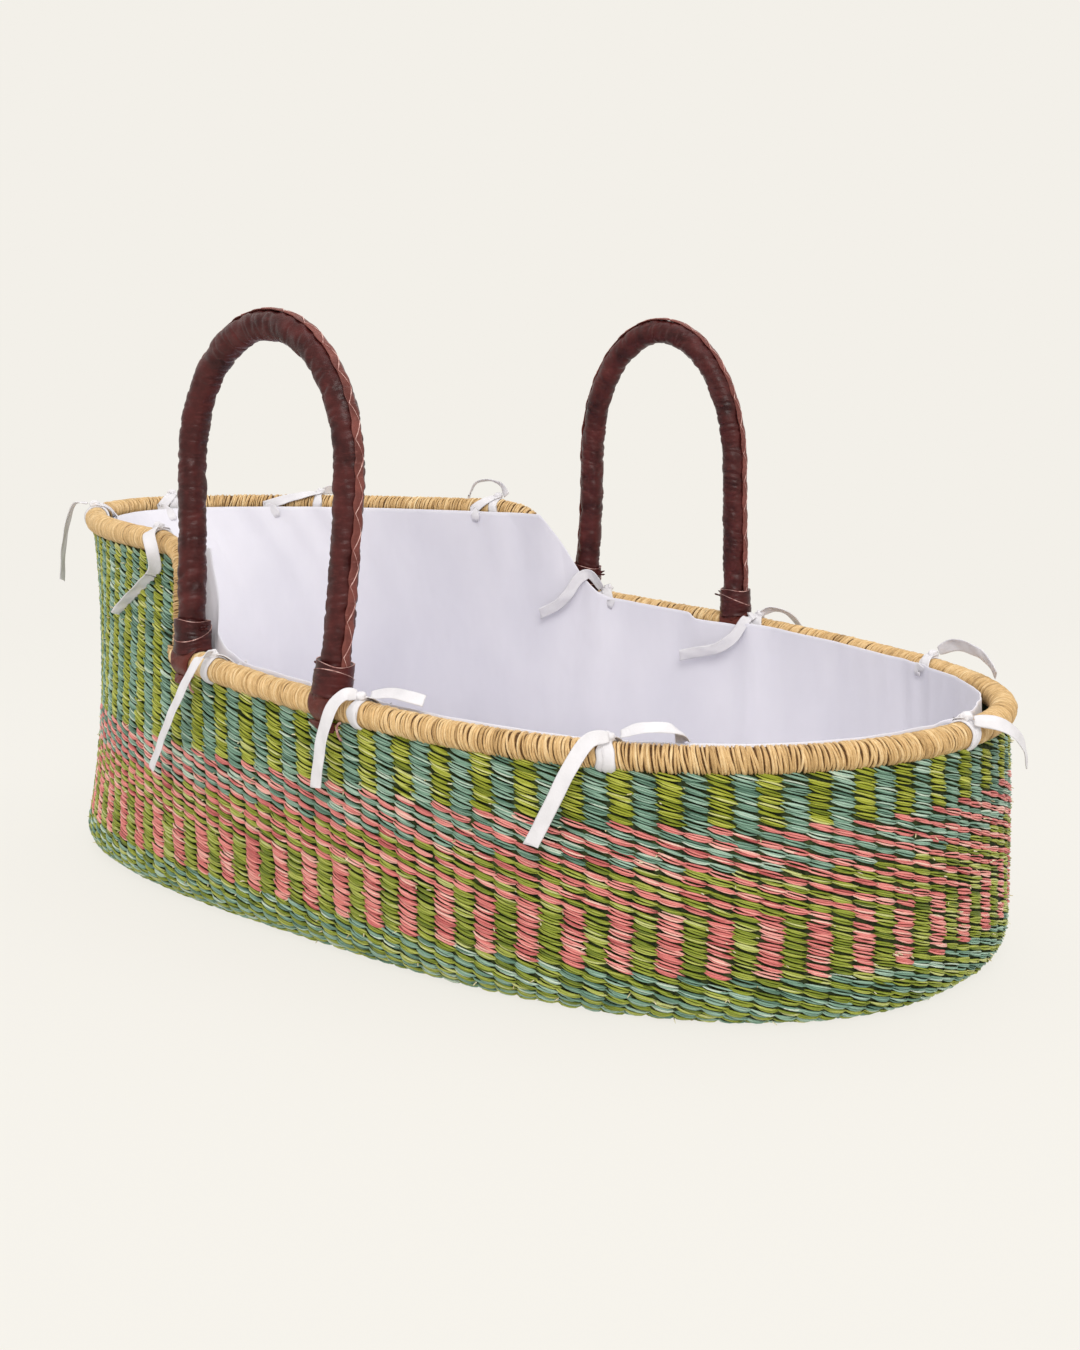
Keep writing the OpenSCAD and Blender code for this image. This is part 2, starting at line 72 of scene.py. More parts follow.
def wall(u, z, inset=0.0):
    """Points of the wall's middle surface at angle u (degrees from the foot tip) and height z, in mm."""
    u, z, inset = np.broadcast_arrays(np.asarray(u, float), np.asarray(z, float), np.asarray(inset, float))
    c, s, q = np.cos(np.radians(u)), np.sin(np.radians(u)), level(z)
    reach = np.where(c >= 0, FOOT_REACH - 9 * q, HEAD_REACH - 152 * q + 205 * q**2)
    power = np.where(c >= 0, 2.32 - 0.22 * q, 3.07 - 1.16 * q)
    side = HALF_WIDTH + 72 * q - 74 * q**2
    return np.stack(
        [WIDEST_X + (reach - inset) * spow(c, 2 / power), (side - inset) * spow(s, 2 / power), z], -1
    )


def low_rim_z(u):
    c = np.cos(np.radians(u))
    return LOW_H - 28.5 * c + 18 * c**2


def drop_z(u):
    """Height of the hood's rim, with its steep front edge."""
    start = float(low_rim_z(DROP_FOOT)) + 6
    return np.interp(np.abs(u), [DROP_FOOT, DROP_HEAD, 114.2, 115.6, 118], [start, 246, 257, 262, HOOD_H])


def rim_z(u):
    return np.where(np.abs(u) < DROP_FOOT, low_rim_z(u), drop_z(u))


def unit(v):
    v = np.asarray(v, float)
    return v / np.maximum(np.linalg.norm(v, axis=-1, keepdims=True), 1e-12)


def outward(u, z):
    return unit(wall(u, z, -1) - wall(u, z, 0))


def full_turn(count):
    """Angles evenly spaced round a circle, in radians."""
    return np.linspace(0, 2 * np.pi, count, endpoint=False)


def lumps(x, y, z):
    """Smooth noise at points whose coordinates are numbers or arrays that broadcast together."""
    x, y, z = np.broadcast_arrays(x, y, z)
    spots = zip(x.ravel().tolist(), y.ravel().tolist(), z.ravel().tolist())
    return np.array([noise.noise(Vector(spot)) for spot in spots]).reshape(x.shape)


def run_of(line):
    """Distance along a line of points, at each of them."""
    return np.concatenate([[0], np.cumsum(np.linalg.norm(np.diff(line, axis=0), axis=1))])


# ---- Camera ----------------------------------------------------------------------------------
def make_camera(azimuth, elevation, roll, distance, lens, target):
    """Camera looking at target; angles are in degrees, distance in metres."""
    a, e, r = (math.radians(x) for x in (azimuth, elevation, roll))
    back = Vector((math.sin(a) * math.cos(e), -math.cos(a) * math.cos(e), math.sin(e)))
    right = Vector((math.cos(a), math.sin(a), 0))
    up = back.cross(right)
    right, up = math.cos(r) * right + math.sin(r) * up, -math.sin(r) * right + math.cos(r) * up
    data = bpy.data.cameras.new("camera")
    data.lens, data.sensor_width = lens, 36
    data.clip_start, data.clip_end = 0.02, 50
    cam = bpy.data.objects.new("camera", data)
    bpy.context.scene.collection.objects.link(cam)
    place = Matrix((right, up, back)).transposed().to_4x4()
    place.translation = Vector(target) + distance * back
    cam.matrix_world = place
    bpy.context.scene.camera = cam


make_camera(40.978, 10.271, -0.233, 1.2957, 46.06, (0.065, 0, 0.16247))


# ---- Mesh helpers ----------------------------------------------------------------------------
def facing_out(points, faces):
    """The faces of a closed part, turned round when they face inward."""
    points = np.asarray(points, float).reshape(-1, 3)
    volume = 0.0
    for size in {len(face) for face in faces}:
        group = np.array([face for face in faces if len(face) == size])
        first = points[group[:, 0]]
        for k in range(1, size - 1):
            volume += (first * np.cross(points[group[:, k]], points[group[:, k + 1]])).sum()
    return faces if volume > 0 else [tuple(face)[::-1] for face in faces]


def add_mesh(name, points, faces, body="basket", material=None, replaces=(), strand=None):
    """A smooth piece from points in mm. strand is what the grass materials read, three numbers a point."""
    mesh = bpy.data.meshes.new(name)
    points = np.asarray(points, float).reshape(-1, 3) * 0.001
    mesh.from_pydata(points.tolist(), [], [tuple(f) for f in facing_out(points, faces)])
    if strand is not None:
        attribute = mesh.attributes.new("strand", "FLOAT_VECTOR", "POINT")
        attribute.data.foreach_set("vector", np.asarray(strand, np.float32).ravel())
    mesh.validate()
    mesh.polygons.foreach_set("use_smooth", np.ones(len(mesh.polygons), bool))
    mesh.update()
    mesh.materials.append(material)
    obj = bpy.data.objects.new(name, mesh)
    bpy.context.scene.collection.objects.link(obj)
    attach(obj, body)
    if replaces:
        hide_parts(*replaces)
    return obj


def grid_faces(n, m, close_n=False, close_m=False, first=0, flip=False):
    """Quads over an n by m grid of points."""
    i = np.arange(n if close_n else n - 1)
    k = np.arange(m if close_m else m - 1)
    i, k = (x.ravel() for x in np.meshgrid(i, k, indexing="ij"))
    i2, k2 = (i + 1) % n, (k + 1) % m
    quads = np.stack([i * m + k, i2 * m + k, i2 * m + k2, i * m + k2], -1) + first
    return quads[:, ::-1] if flip else quads


def frames(path, outs):
    """Tangent, outward and side directions along a path."""
    t = unit(np.gradient(path, axis=0))
    side = unit(np.cross(t, outs))
    return t, np.cross(side, t), side


def even(path, step):
    """Positions along a path at an even spacing close to step, with the index of each."""
    s = run_of(path)
    count = max(2, int(round(s[-1] / step)) + 1)
    at = np.linspace(0, s[-1], count)
    return at, np.interp(at, s, np.arange(len(path)))


def pick(array, index):
    """Rows of an array at fractional indices."""
    low = np.clip(np.floor(index).astype(int), 0, len(array) - 2)
    part = np.asarray(index - low)
    part = part.reshape(part.shape + (1,) * (np.ndim(array) - 1))
    return array[low] * (1 - part) + array[low + 1] * part


# ---- Node materials --------------------------------------------------------------------------
class Nodes:
    """A material with its Principled shader, and short ways to add and join nodes."""

    def __init__(self, name, rough=0.6, specular=0.5):
        self.mat = bpy.data.materials.new(name)
        self.mat.use_nodes = True
        self.tree = self.mat.node_tree
        self.shader = self.tree.nodes["Principled BSDF"]
        self.shader.inputs["Roughness"].default_value = rough
        self.shader.inputs["Specular IOR Level"].default_value = specular

    def add(self, kind, **values):
        node = self.tree.nodes.new(kind)
        for key, value in values.items():
            if key in node.inputs:
                node.inputs[key].default_value = value
            else:
                setattr(node, key, value)
        return node

    def join(self, a, b):
        self.tree.links.new(a, b)

    def put(self, value, socket):
        if hasattr(value, "is_output"):
            self.join(value, socket)
        else:
            socket.default_value = value

    def math(self, op, a, b=0.0):
        node = self.add("ShaderNodeMath", operation=op)
        self.put(a, node.inputs[0])
        self.put(b, node.inputs[1])
        return node.outputs[0]

    def spread(self, value, low, high, to_low=0.0, to_high=1.0):
        node = self.add("ShaderNodeMapRange")
        self.put(value, node.inputs["Value"])
        for key, number in (("From Min", low), ("From Max", high), ("To Min", to_low), ("To Max", to_high)):
            node.inputs[key].default_value = number
        return node.outputs[0]

    def mix(self, share, a, b):
        node = self.add("ShaderNodeMix", data_type="RGBA", blend_type="MIX")
        self.put(share, node.inputs[0])
        self.put(a if hasattr(a, "is_output") else (*a, 1), node.inputs[6])
        self.put(b if hasattr(b, "is_output") else (*b, 1), node.inputs[7])
        return node.outputs[2]

    def noise(self, vector, scale, detail=3.0, rough=0.5):
        node = self.add("ShaderNodeTexNoise", Scale=scale, Detail=detail, Roughness=rough)
        self.put(vector, node.inputs["Vector"])
        return node.outputs["Fac"]

    def stretched(self, vector, scale, turn=(0, 0, 0)):
        node = self.add("ShaderNodeMapping")
        self.put(vector, node.inputs["Vector"])
        node.inputs["Scale"].default_value = scale
        node.inputs["Rotation"].default_value = turn
        return node.outputs[0]

    def place(self):
        return self.add("ShaderNodeTexCoord").outputs["Object"]

    def grain(self, scale, detail=3.0, rough=0.5):
        """Noise in the object's own space: scale is one number or three."""
        scale = scale if isinstance(scale, tuple) else (scale,) * 3
        return self.noise(self.stretched(self.place(), scale), 1.0, detail, rough)

    def parts_of(self, attribute):
        node = self.add("ShaderNodeSeparateXYZ")
        self.join(self.add("ShaderNodeAttribute", attribute_name=attribute).outputs["Vector"], node.inputs[0])
        return node.outputs

    def vector(self, x, y, z):
        node = self.add("ShaderNodeCombineXYZ")
        for i, value in enumerate((x, y, z)):
            self.put(value, node.inputs[i])
        return node.outputs[0]

    def bump(self, height, strength, distance, base=None):
        node = self.add("ShaderNodeBump", Strength=strength, Distance=distance)
        self.put(height, node.inputs["Height"])
        if base is not None:
            self.join(base, node.inputs["Normal"])
        return node.outputs[0]

    def finish(self, colour, rough=None, normal=None):
        self.join(colour, self.shader.inputs["Base Color"])
        if rough is not None:
            self.put(rough, self.shader.inputs["Roughness"])
        if normal is not None:
            self.join(normal, self.shader.inputs["Normal"])
        return self.mat


def blade_material(name, deep, main, light, pale, gloss=0.42):
    """Dyed or plain grass blades. "strand" holds the place along and across a strand and its own tone."""
    n = Nodes(name, specular=0.35)
    along, across, tone = n.parts_of("strand")
    scaled = ((along, 0.7), (across, 7.5), (tone, 90))
    fibre = n.vector(*(n.math("MULTIPLY", part, factor) for part, factor in scaled))
    streak = n.noise(fibre, 1.0, 3, 0.6)
    wide = n.noise(n.vector(n.math("MULTIPLY", along, 1.2), across, n.math("MULTIPLY", tone, 40)), 1.1, 1)
    shade = n.math("ADD", n.math("MULTIPLY", streak, 0.9), n.math("MULTIPLY", wide, 0.35))
    shade = n.math("ADD", shade, n.spread(tone, 0, 1, -0.34, 0.26))
    colour = n.mix(n.spread(shade, 0.25, 0.60), deep, main)
    # the light tone on the bright streaks: painted highlight
    colour = n.mix(n.spread(shade, 0.60, 0.92), colour, light)
    # pale whitish streaks on a few blades picked at random: painted highlight
    pale_highlight_share = n.math("MULTIPLY", n.spread(tone, 0.9, 0.97), n.spread(streak, 0.35, 0.6))
    colour = n.mix(pale_highlight_share, colour, pale)
    rough = n.spread(streak, 0.3, 0.7, gloss + 0.16, gloss - 0.05)
    return n.finish(colour, rough, n.bump(streak, 0.55, 0.0007))


# Each grass from its shadowed tone to its main one and its light one, a painted highlight, and the pale
# whitish tone of painted highlight streaks on a few blades.
GRASSES = {
    "lime_grass": ((0.11, 0.15, 0.008), (0.33, 0.36, 0.024), (0.60, 0.62, 0.14), (0.66, 0.66, 0.36)),
    "leaf_grass": ((0.09, 0.13, 0.011), (0.27, 0.32, 0.028), (0.52, 0.55, 0.14), (0.58, 0.60, 0.30)),
    "teal_grass": ((0.05, 0.12, 0.08), (0.20, 0.35, 0.26), (0.46, 0.61, 0.50), (0.68, 0.74, 0.62)),
    "pink_grass": ((0.40, 0.07, 0.07), (0.77, 0.24, 0.22), (0.88, 0.47, 0.41), (0.86, 0.62, 0.52)),
    "straw_wrap": ((0.26, 0.145, 0.05), (0.65, 0.42, 0.185), (0.87, 0.68, 0.40), (0.90, 0.78, 0.52), 0.34),
}
lime, leaf, teal, pink, straw = (blade_material(name, *tones) for name, tones in GRASSES.items())


def core_material():
    """The stakes and the back of the weave: near-black green-brown with upright fibres, painted shade for the
    gaps between the stitches.
    """
    n = Nodes("painted_shade_core", 0.8, 0.2)
    grain = n.grain((260, 260, 30), 3)
    # painted shade: the near-black colour seen in the gaps between stitches
    colour = n.mix(n.spread(grain, 0.35, 0.7), (0.010, 0.016, 0.005), (0.045, 0.062, 0.016))
    return n.finish(colour, None, n.bump(grain, 0.5, 0.001))


def cotton_material(name, colour, shade, weave, crease):
    """Plain cotton cloth: fine weave, soft creases with painted shade in their hollows, and a faint
    unevenness.
    """
    n = Nodes(name, 0.85, 0.25)
    n.shader.inputs["Sheen Weight"].default_value = 0.15
    n.shader.inputs["Sheen Roughness"].default_value = 0.5
    threads = n.grain((1600, 1600, 1100), 2)
    soft = n.grain((9, 9, 5), 4, 0.55)
    # painted shade: the shade colour in the low places of the soft creases
    tone = n.mix(n.spread(soft, 0.3, 0.7), shade, colour)
    tone = n.mix(n.spread(threads, 0.2, 0.8, 0, 0.12), tone, shade)
    first = n.bump(soft, crease, 0.02)
    return n.finish(tone, n.spread(threads, 0.3, 0.7, 0.78, 0.92), n.bump(threads, weave, 0.0004, first))


def tape_material():
    """Cotton tape woven in narrow ribs."""
    n = Nodes("cotton_tape", 0.8, 0.3)
    ribs = n.grain(900, 2)
    soft = n.grain(60, 3)
    tone = n.mix(n.spread(soft, 0.3, 0.7), (0.63, 0.615, 0.645), (0.71, 0.695, 0.725))
    first = n.bump(soft, 0.3, 0.003)
    return n.finish(tone, n.spread(ribs, 0.3, 0.7, 0.7, 0.88), n.bump(ribs, 0.4, 0.0006, first))


def leather_material(name, deep, main, light, gloss):
    """Soft glazed leather with grain, fine cross wrinkles and worn, lighter high places."""
    n = Nodes(name, 0.35, 0.20)
    where = n.place()
    grain = n.noise(n.stretched(where, (900, 900, 900)), 1.0, 3)
    cloud = n.noise(n.stretched(where, (55, 55, 55)), 1.0, 4, 0.6)
    wrinkle = n.noise(n.stretched(where, (130, 130, 420)), 1.0, 4, 0.65)
    tone = n.mix(n.spread(cloud, 0.3, 0.68), deep, main)
    tone = n.mix(n.spread(wrinkle, 0.56, 0.8, 0, 0.5), tone, light)
    worn = n.spread(cloud, 0.3, 0.7, gloss - 0.06, gloss + 0.12)
    rough = n.math("ADD", worn, n.spread(grain, 0.3, 0.7, -0.03, 0.05))
    return n.finish(tone, rough, n.bump(grain, 0.10, 0.0004, n.bump(wrinkle, 0.4, 0.0012)))


def pale_leather_material():
    n = Nodes("pale_leather", 0.6, 0.4)
    mottle = n.grain(260, 3)
    tone = n.mix(n.spread(mottle, 0.35, 0.62), (0.30, 0.115, 0.10), (0.66, 0.42, 0.38))
    return n.finish(tone, None, n.bump(mottle, 0.4, 0.0008))


def bed_material():
    """Painted shade: dark straw colour for the gaps of a wrapping."""
    n = Nodes("straw_gap_shade", 0.85, 0.2)
    grain = n.grain(500, 3)
    tone = n.mix(n.spread(grain, 0.35, 0.65), (0.05, 0.022, 0.008), (0.15, 0.075, 0.028))
    return n.finish(tone, None, n.bump(grain, 0.5, 0.001))


def cut_straw_material():
    """The pale cut ends of grass."""
    n = Nodes("cut_straw", 0.6, 0.3)
    grain = n.grain(300, 2)
    tone = n.mix(n.spread(grain, 0.35, 0.65), (0.45, 0.38, 0.18), (0.80, 0.76, 0.56))
    return n.finish(tone, None, n.bump(grain, 0.3, 0.0006))


def base_material():
    """Rows of stitches round and round the flat base, in the two greens."""
    n = Nodes("base_weave", 0.7, 0.25)
    split = n.add("ShaderNodeSeparateXYZ")
    n.join(n.place(), split.inputs[0])
    x = n.math("MULTIPLY", n.math("SUBTRACT", split.outputs[0], 0.03), 0.55)
    reach = n.math("SQRT", n.math("ADD", n.math("POWER", x, 2), n.math("POWER", split.outputs[1], 2)))
    turn = n.math("ARCTAN2", split.outputs[1], x)
    row = n.math("MULTIPLY", reach, 6.2832 / 0.00465)
    ridge = n.math("SINE", n.math("ADD", row, n.math("MULTIPLY", turn, 1)))
    bead = n.math("SINE", n.math("ADD", n.math("MULTIPLY", turn, 60), n.math("MULTIPLY", row, 0.5)))
    grain = n.grain(500, 3)
    tone = n.mix(n.spread(bead, -0.3, 0.3), (0.20, 0.28, 0.03), (0.14, 0.26, 0.18))
    # painted shade: near black in the grooves between the rows
    tone = n.mix(n.spread(ridge, -0.9, -0.3, 1, 0), tone, (0.012, 0.02, 0.006))
    tone = n.mix(n.spread(grain, 0.3, 0.7, 0.35, 0), tone, (0.03, 0.05, 0.01))
    height = n.math("ADD", ridge, n.math("MULTIPLY", n.math("ABSOLUTE", bead), 0.7))
    first = n.bump(height, 0.6, 0.0012)
    return n.finish(tone, n.spread(grain, 0.3, 0.7, 0.6, 0.8), n.bump(grain, 0.4, 0.0006, first))


def foam_material():
    n = Nodes("foam", 0.95, 0.1)
    cells = n.grain(1200, 2)
    tone = n.mix(n.spread(cells, 0.3, 0.7), (0.60, 0.55, 0.40), (0.78, 0.73, 0.58))
    return n.finish(tone, None, n.bump(cells, 0.5, 0.0008))


def paper_material():
    """Seamless studio paper: lit near the object, and running into one even pale tone further off."""
    n = Nodes("studio_paper", 0.95, 0.1)
    grain = n.grain(300, 2)
    n.finish(n.mix(n.spread(grain, 0.3, 0.7), (0.86, 0.845, 0.80), (0.88, 0.865, 0.82)))
    split = n.add("ShaderNodeSeparateXYZ")
    n.join(n.place(), split.inputs[0])
    squares = [n.math("POWER", split.outputs[k], 2) for k in (0, 1)]
    reach = n.math("SQRT", n.math("ADD", *squares))
    glow = n.add("ShaderNodeEmission", Strength=1.0)
    glow.inputs["Color"].default_value = (0.896, 0.871, 0.815, 1)
    blend = n.add("ShaderNodeMixShader")
    n.join(n.spread(reach, 0.35, 1.6, 0.88, 1.0), blend.inputs[0])
    n.join(n.shader.outputs[0], blend.inputs[1])
    n.join(glow.outputs[0], blend.inputs[2])
    n.join(blend.outputs[0], n.tree.nodes["Material Output"].inputs["Surface"])
    return n.mat


painted_shade_core = core_material()
cotton = cotton_material("cotton_cloth", (0.73, 0.715, 0.775), (0.63, 0.62, 0.69), 0.12, 0.25)
tape = tape_material()
LEATHERS = {
    "dark_leather": ((0.024, 0.005, 0.005), (0.078, 0.014, 0.013), (0.15, 0.036, 0.034), 0.33),
    "red_leather": ((0.050, 0.009, 0.007), (0.125, 0.024, 0.016), (0.23, 0.065, 0.046), 0.30),
    "seam_leather": ((0.085, 0.022, 0.018), (0.20, 0.060, 0.048), (0.34, 0.15, 0.13), 0.4),
}
dark_leather, red_leather, seam_leather = (leather_material(name, *tones) for name, tones in LEATHERS.items())
pale_leather = pale_leather_material()
straw_gap_shade = bed_material()
cut_straw = cut_straw_material()
base_weave = base_material()
foam = foam_material()
paper = paper_material()


# ---- Free tape ends --------------------------------------------------------------------------
TAILS = {
    "head_tip_tie_tail": [(-404, 32, 278), (-412, 44, 277), (-417, 54, 264), (-416, 58, 242),
                          (-415, 60, 215)],
    "near_head_tie_tail": [(-362, -99, 276), (-371, -104, 276), (-376, -108, 264), (-380, -112, 240),
                           (-381, -114, 210)],
    "far_head_tie_tail": [(-312, 126, 276), (-308, 139, 276), (-306, 149, 262), (-305, 153, 238),
                          (-305, 155, 212)],
    "near_hood_tie_tail": [(-140, -190, 276), (-134, -203, 272), (-127, -206, 260), (-132, -201, 246),
                           (-151, -198.5, 233.5), (-174, -195.5, 220), (-198, -189.5, 206)],
    "far_hood_tie_tail": [(-138, 189, 276), (-146, 190, 285), (-158, 187, 289), (-170, 184, 286),
                          (-179, 185, 276), (-184, 188, 263)],
    "near_mid_tie_tail": [(-38, -226, 197), (-37, -238, 195), (-42, -246, 180), (-54, -249, 158),
                          (-68, -249, 135), (-84, -247, 113)],
    "far_mid_tie_tail": [(-47, 212, 197), (-53, 204, 210), (-61, 197, 206), (-71, 193.5, 191),
                         (-84, 192, 180), (-99, 189, 173)],
    "near_side_tie_tail": [(114, -232, 188), (111, -241, 188.5), (108, -249, 180), (101, -252, 158),
                           (93, -251, 128)],
    "near_side_tie_tail_2": [(122, -228, 188), (136, -223, 190), (148, -220.7, 189.4), (160, -218.5, 187.6)],
    "far_side_tie_tail": [(107, 222, 187), (106, 211.5, 184), (99, 205.5, 170), (84, 203, 159),
                          (66, 203, 154), (46, 202, 149)],
    "far_side_tie_tail_2": [(110, 229, 188), (119, 232, 192), (129, 237, 189), (137, 242, 180),
                            (142, 244, 168), (145, 244, 155)],
    "near_foot_tie_tail": [(288, -196, 179), (283, -208, 178), (277, -218, 163), (268, -225, 140),
                           (256, -229, 115)],
    "near_foot_tie_tail_2": [(292, -190, 180), (302, -186, 184), (311, -177, 185), (315, -166, 182),
                             (312, -156, 174), (306.5, -152, 165)],
    "far_foot_tie_tail": [(294, 189, 181), (310, 183, 188), (329, 172, 188), (348, 158, 184),
                          (361, 147, 176)],
    "foot_tip_tie_tail": [(424, -9, 177), (433, 2, 175), (439, 14, 168), (440, 26, 158), (438, 37, 145)],
}


def catmull(route, steps):
    """Smooth curve through the points of a route."""
    route = np.asarray(route, float)
    padded = np.concatenate([route[:1], route, route[-1:]])
    line = []
    for i in range(len(route) - 1):
        a, b, c, d = padded[i : i + 4]
        t = np.linspace(0, 1, steps, endpoint=False)[:, None]
        square, cube = 2 * a - 5 * b + 4 * c - d, 3 * b - a - 3 * c + d
        line.append(0.5 * (2 * b + (c - a) * t + square * t**2 + cube * t**3))
    return np.concatenate(line + [route[-1:]])


def ribbon(path, outs, half, thick, curl=0.0, seed=0.0):
    """Points and faces of a tape along a path, with soft selvedges and a slanting cut end."""
    lanes = np.array([-1, -0.86, -0.7, -0.35, 0, 0.35, 0.7, 0.86, 1])
    t, n, b = frames(path, outs)
    s = run_of(path)
    pinch = 1 - 0.35 * np.exp(-s / 5.0)
    rings = []
    for sign in (1, -1):
        for x in lanes if sign > 0 else lanes[-2:0:-1]:
            selvedge = 1.25 if abs(x) == 0.86 else 1.0
            rise = 0 if abs(x) == 1 else sign * thick * selvedge
            bow = curl * (x * x - 0.4) * np.sin(s / 13 + seed)
            bow = bow + 0.25 * np.sin(s / 3.7 + 2.5 * x + seed) * (s > 4)
            skew = np.where(np.arange(len(s)) == len(s) - 1, 1.6 * x, 0)
            lane = path + b * (x * half * pinch)[:, None] + n * (rise + bow)[:, None]
            rings.append(lane + t * skew[:, None])
    ring = np.stack(rings, 1)
    return ring.reshape(-1, 3), tube_faces(len(path), ring.shape[1])


def tube_faces(n, m):
    """The sides of n rings of m points, and a cap at each end, facing the same way."""
    side = [tuple(q) for q in grid_faces(n, m, close_m=True, flip=True)]
    return side + [tuple(range(m))[::-1], tuple((n - 1) * m + k for k in range(m))]


# The way the width of a tape runs, where it is turned from lying flat.
WIDTHS = {"near_hood_tie_tail": (0.76, 0.62, 0.10), "far_hood_tie_tail": (0.62, -0.74, 0.22)}

for index, (node, route) in enumerate(TAILS.items()):
    line = catmull(route, 12)
    _, spots = even(line, 1.3)
    line = pick(line, spots)
    upward = 330.0 if node.endswith("_2") else 60.0
    outs = unit(np.column_stack([line[:, 0] * 0.45 - 20, line[:, 1], np.full(len(line), upward)]))
    if node in WIDTHS:
        turned = unit(np.cross(WIDTHS[node], np.gradient(line, axis=0)))
        settle = np.clip(np.arange(len(line)) / 12.0, 0, 1)[:, None]
        outs = unit(outs * (1 - settle) + turned * np.sign((turned * outs).sum(1, keepdims=True)) * settle)
    points, faces = ribbon(line, outs, TIE_W / 2 - 0.2, 0.34, 0.9, index * 1.7)
    name = node.replace("_tie_tail", "_tape_end")
    piece = add_mesh(name, points, faces, material=tape, replaces=[node])


# ---- Woven surface ---------------------------------------------------------------------------
# A row's height is its distance s up the outside of the basket, in mm: 0 is where the rounded edge
# meets the ground, and negative rows lie on the underside.
ROW, STAKES = 4.45, 136
TURN_IN = EDGE_R - WALL_T / 2


def edge_profile():
    """The rounded edge between base and wall: distance along it, inset and height."""
    a = np.linspace(0, np.pi / 2, 60)
    inset, z = EDGE_R * (1 - np.sin(a)), EDGE_TOP * (1 - np.cos(a))
    s = np.concatenate([[0], np.cumsum(np.hypot(np.diff(inset), np.diff(z)))])
    return s, inset, z


EDGE_S, EDGE_INSET, EDGE_Z = edge_profile()


def profile(s):
    """Inset from the wall's middle surface and height of the outer surface at s."""
    s = np.asarray(s, float)
    inset = np.where(s < 0, EDGE_R - s, np.interp(s, EDGE_S, EDGE_INSET)) - WALL_T / 2
    upright = EDGE_TOP + s - EDGE_S[-1]
    z = np.where(s < 0, 0, np.where(s > EDGE_S[-1], upright, np.interp(s, EDGE_S, EDGE_Z)))
    return inset, z


class Skin:
    """Outer surface of the basket over s and the share f of the way round, from the head tip."""

    def __init__(self, low, high, step=2.2, around=1200):
        self.s = np.arange(low, high + step, step)
        self.around = around
        fine = np.linspace(-180, 180, 4001)
        self.points, self.angles = [], []
        share = np.linspace(0, 1, around + 1)
        for inset, z in zip(*profile(self.s)):
            line = wall(fine, z, inset)
            run = run_of(line)
            run /= run[-1]
            self.points.append(np.stack([np.interp(share, run, line[:, k]) for k in range(3)], -1))
            self.angles.append(np.interp(share, run, fine))
        self.points, self.angles = np.array(self.points), np.array(self.angles)
        up = np.gradient(self.points, axis=0)
        ahead = self.points[:, np.r_[1 : around + 1, 1]] - self.points[:, np.r_[around - 1, 0:around]]
        self.normals = unit(np.cross(ahead, up))

    def at(self, array, s, f):
        i = np.clip((s - self.s[0]) / (self.s[1] - self.s[0]), 0, len(self.s) - 1.001)
        j = np.mod(f, 1.0) * self.around
        i0, j0 = np.floor(i).astype(int), np.minimum(np.floor(j).astype(int), self.around - 1)
        a, b = (i - i0), (j - j0)
        if array.ndim == 3:
            a, b = a[..., None], b[..., None]
        low = array[i0, j0] * (1 - b) + array[i0, j0 + 1] * b
        high = array[i0 + 1, j0] * (1 - b) + array[i0 + 1, j0 + 1] * b
        return low * (1 - a) + high * a

    def place(self, s, f, rise):
        return self.at(self.points, s, f) + unit(self.at(self.normals, s, f)) * rise[..., None]

    def angle(self, s, f):
        return self.at(self.angles, s, f)

    def share_of(self, s, angle):
        """f where the angle round the rim is the given one, for each s."""
        rows = np.clip(np.round((s - self.s[0]) / (self.s[1] - self.s[0])).astype(int), 0, len(self.s) - 1)
        share = np.linspace(0, 1, self.around + 1)
        table = np.array([np.interp(angle, row, share) for row in self.angles])
        return table[rows]


TOP_S = EDGE_S[-1] + HOOD_H - EDGE_TOP
skin = Skin(-6, TOP_S + 6)
NEAR_EDGE, FAR_EDGE = -DROP_FOOT - 1.2, DROP_FOOT + 1.2

# A blade's rings along it, the points round each ring across and outward, and the lanes of the three.
BLADE_T = np.array([-0.78, -0.40, 0.0, 0.40, 0.78])
BLADE_V = np.array([-1.0, -0.35, 0.45, 1.0])
BLADE_E = np.array([-0.35, 1.0, 0.85, -0.45])
BLADES = np.array([-0.62, -0.02, 0.60])
# A stitch's half length as a share of the stake pitch, its fall along that and its half width in mm.
STITCH_LENGTH, STITCH_DROP, STITCH_HALF = 0.66, 2.8, 2.1
DIVE = 2.9


def blade_faces(count):
    rings, sides = len(BLADE_T), len(BLADE_V)
    per = rings * sides + 2
    first, last = rings * sides, rings * sides + 1
    one = [tuple(q) for q in grid_faces(rings, sides, close_m=True)]
    one += [(first, k, (k + 1) % sides) for k in range(sides)]
    base = (rings - 1) * sides
    one += [(last, base + (k + 1) % sides, base + k) for k in range(sides)]
    return [tuple(i + n * per for i in f) for n in range(count) for f in one]


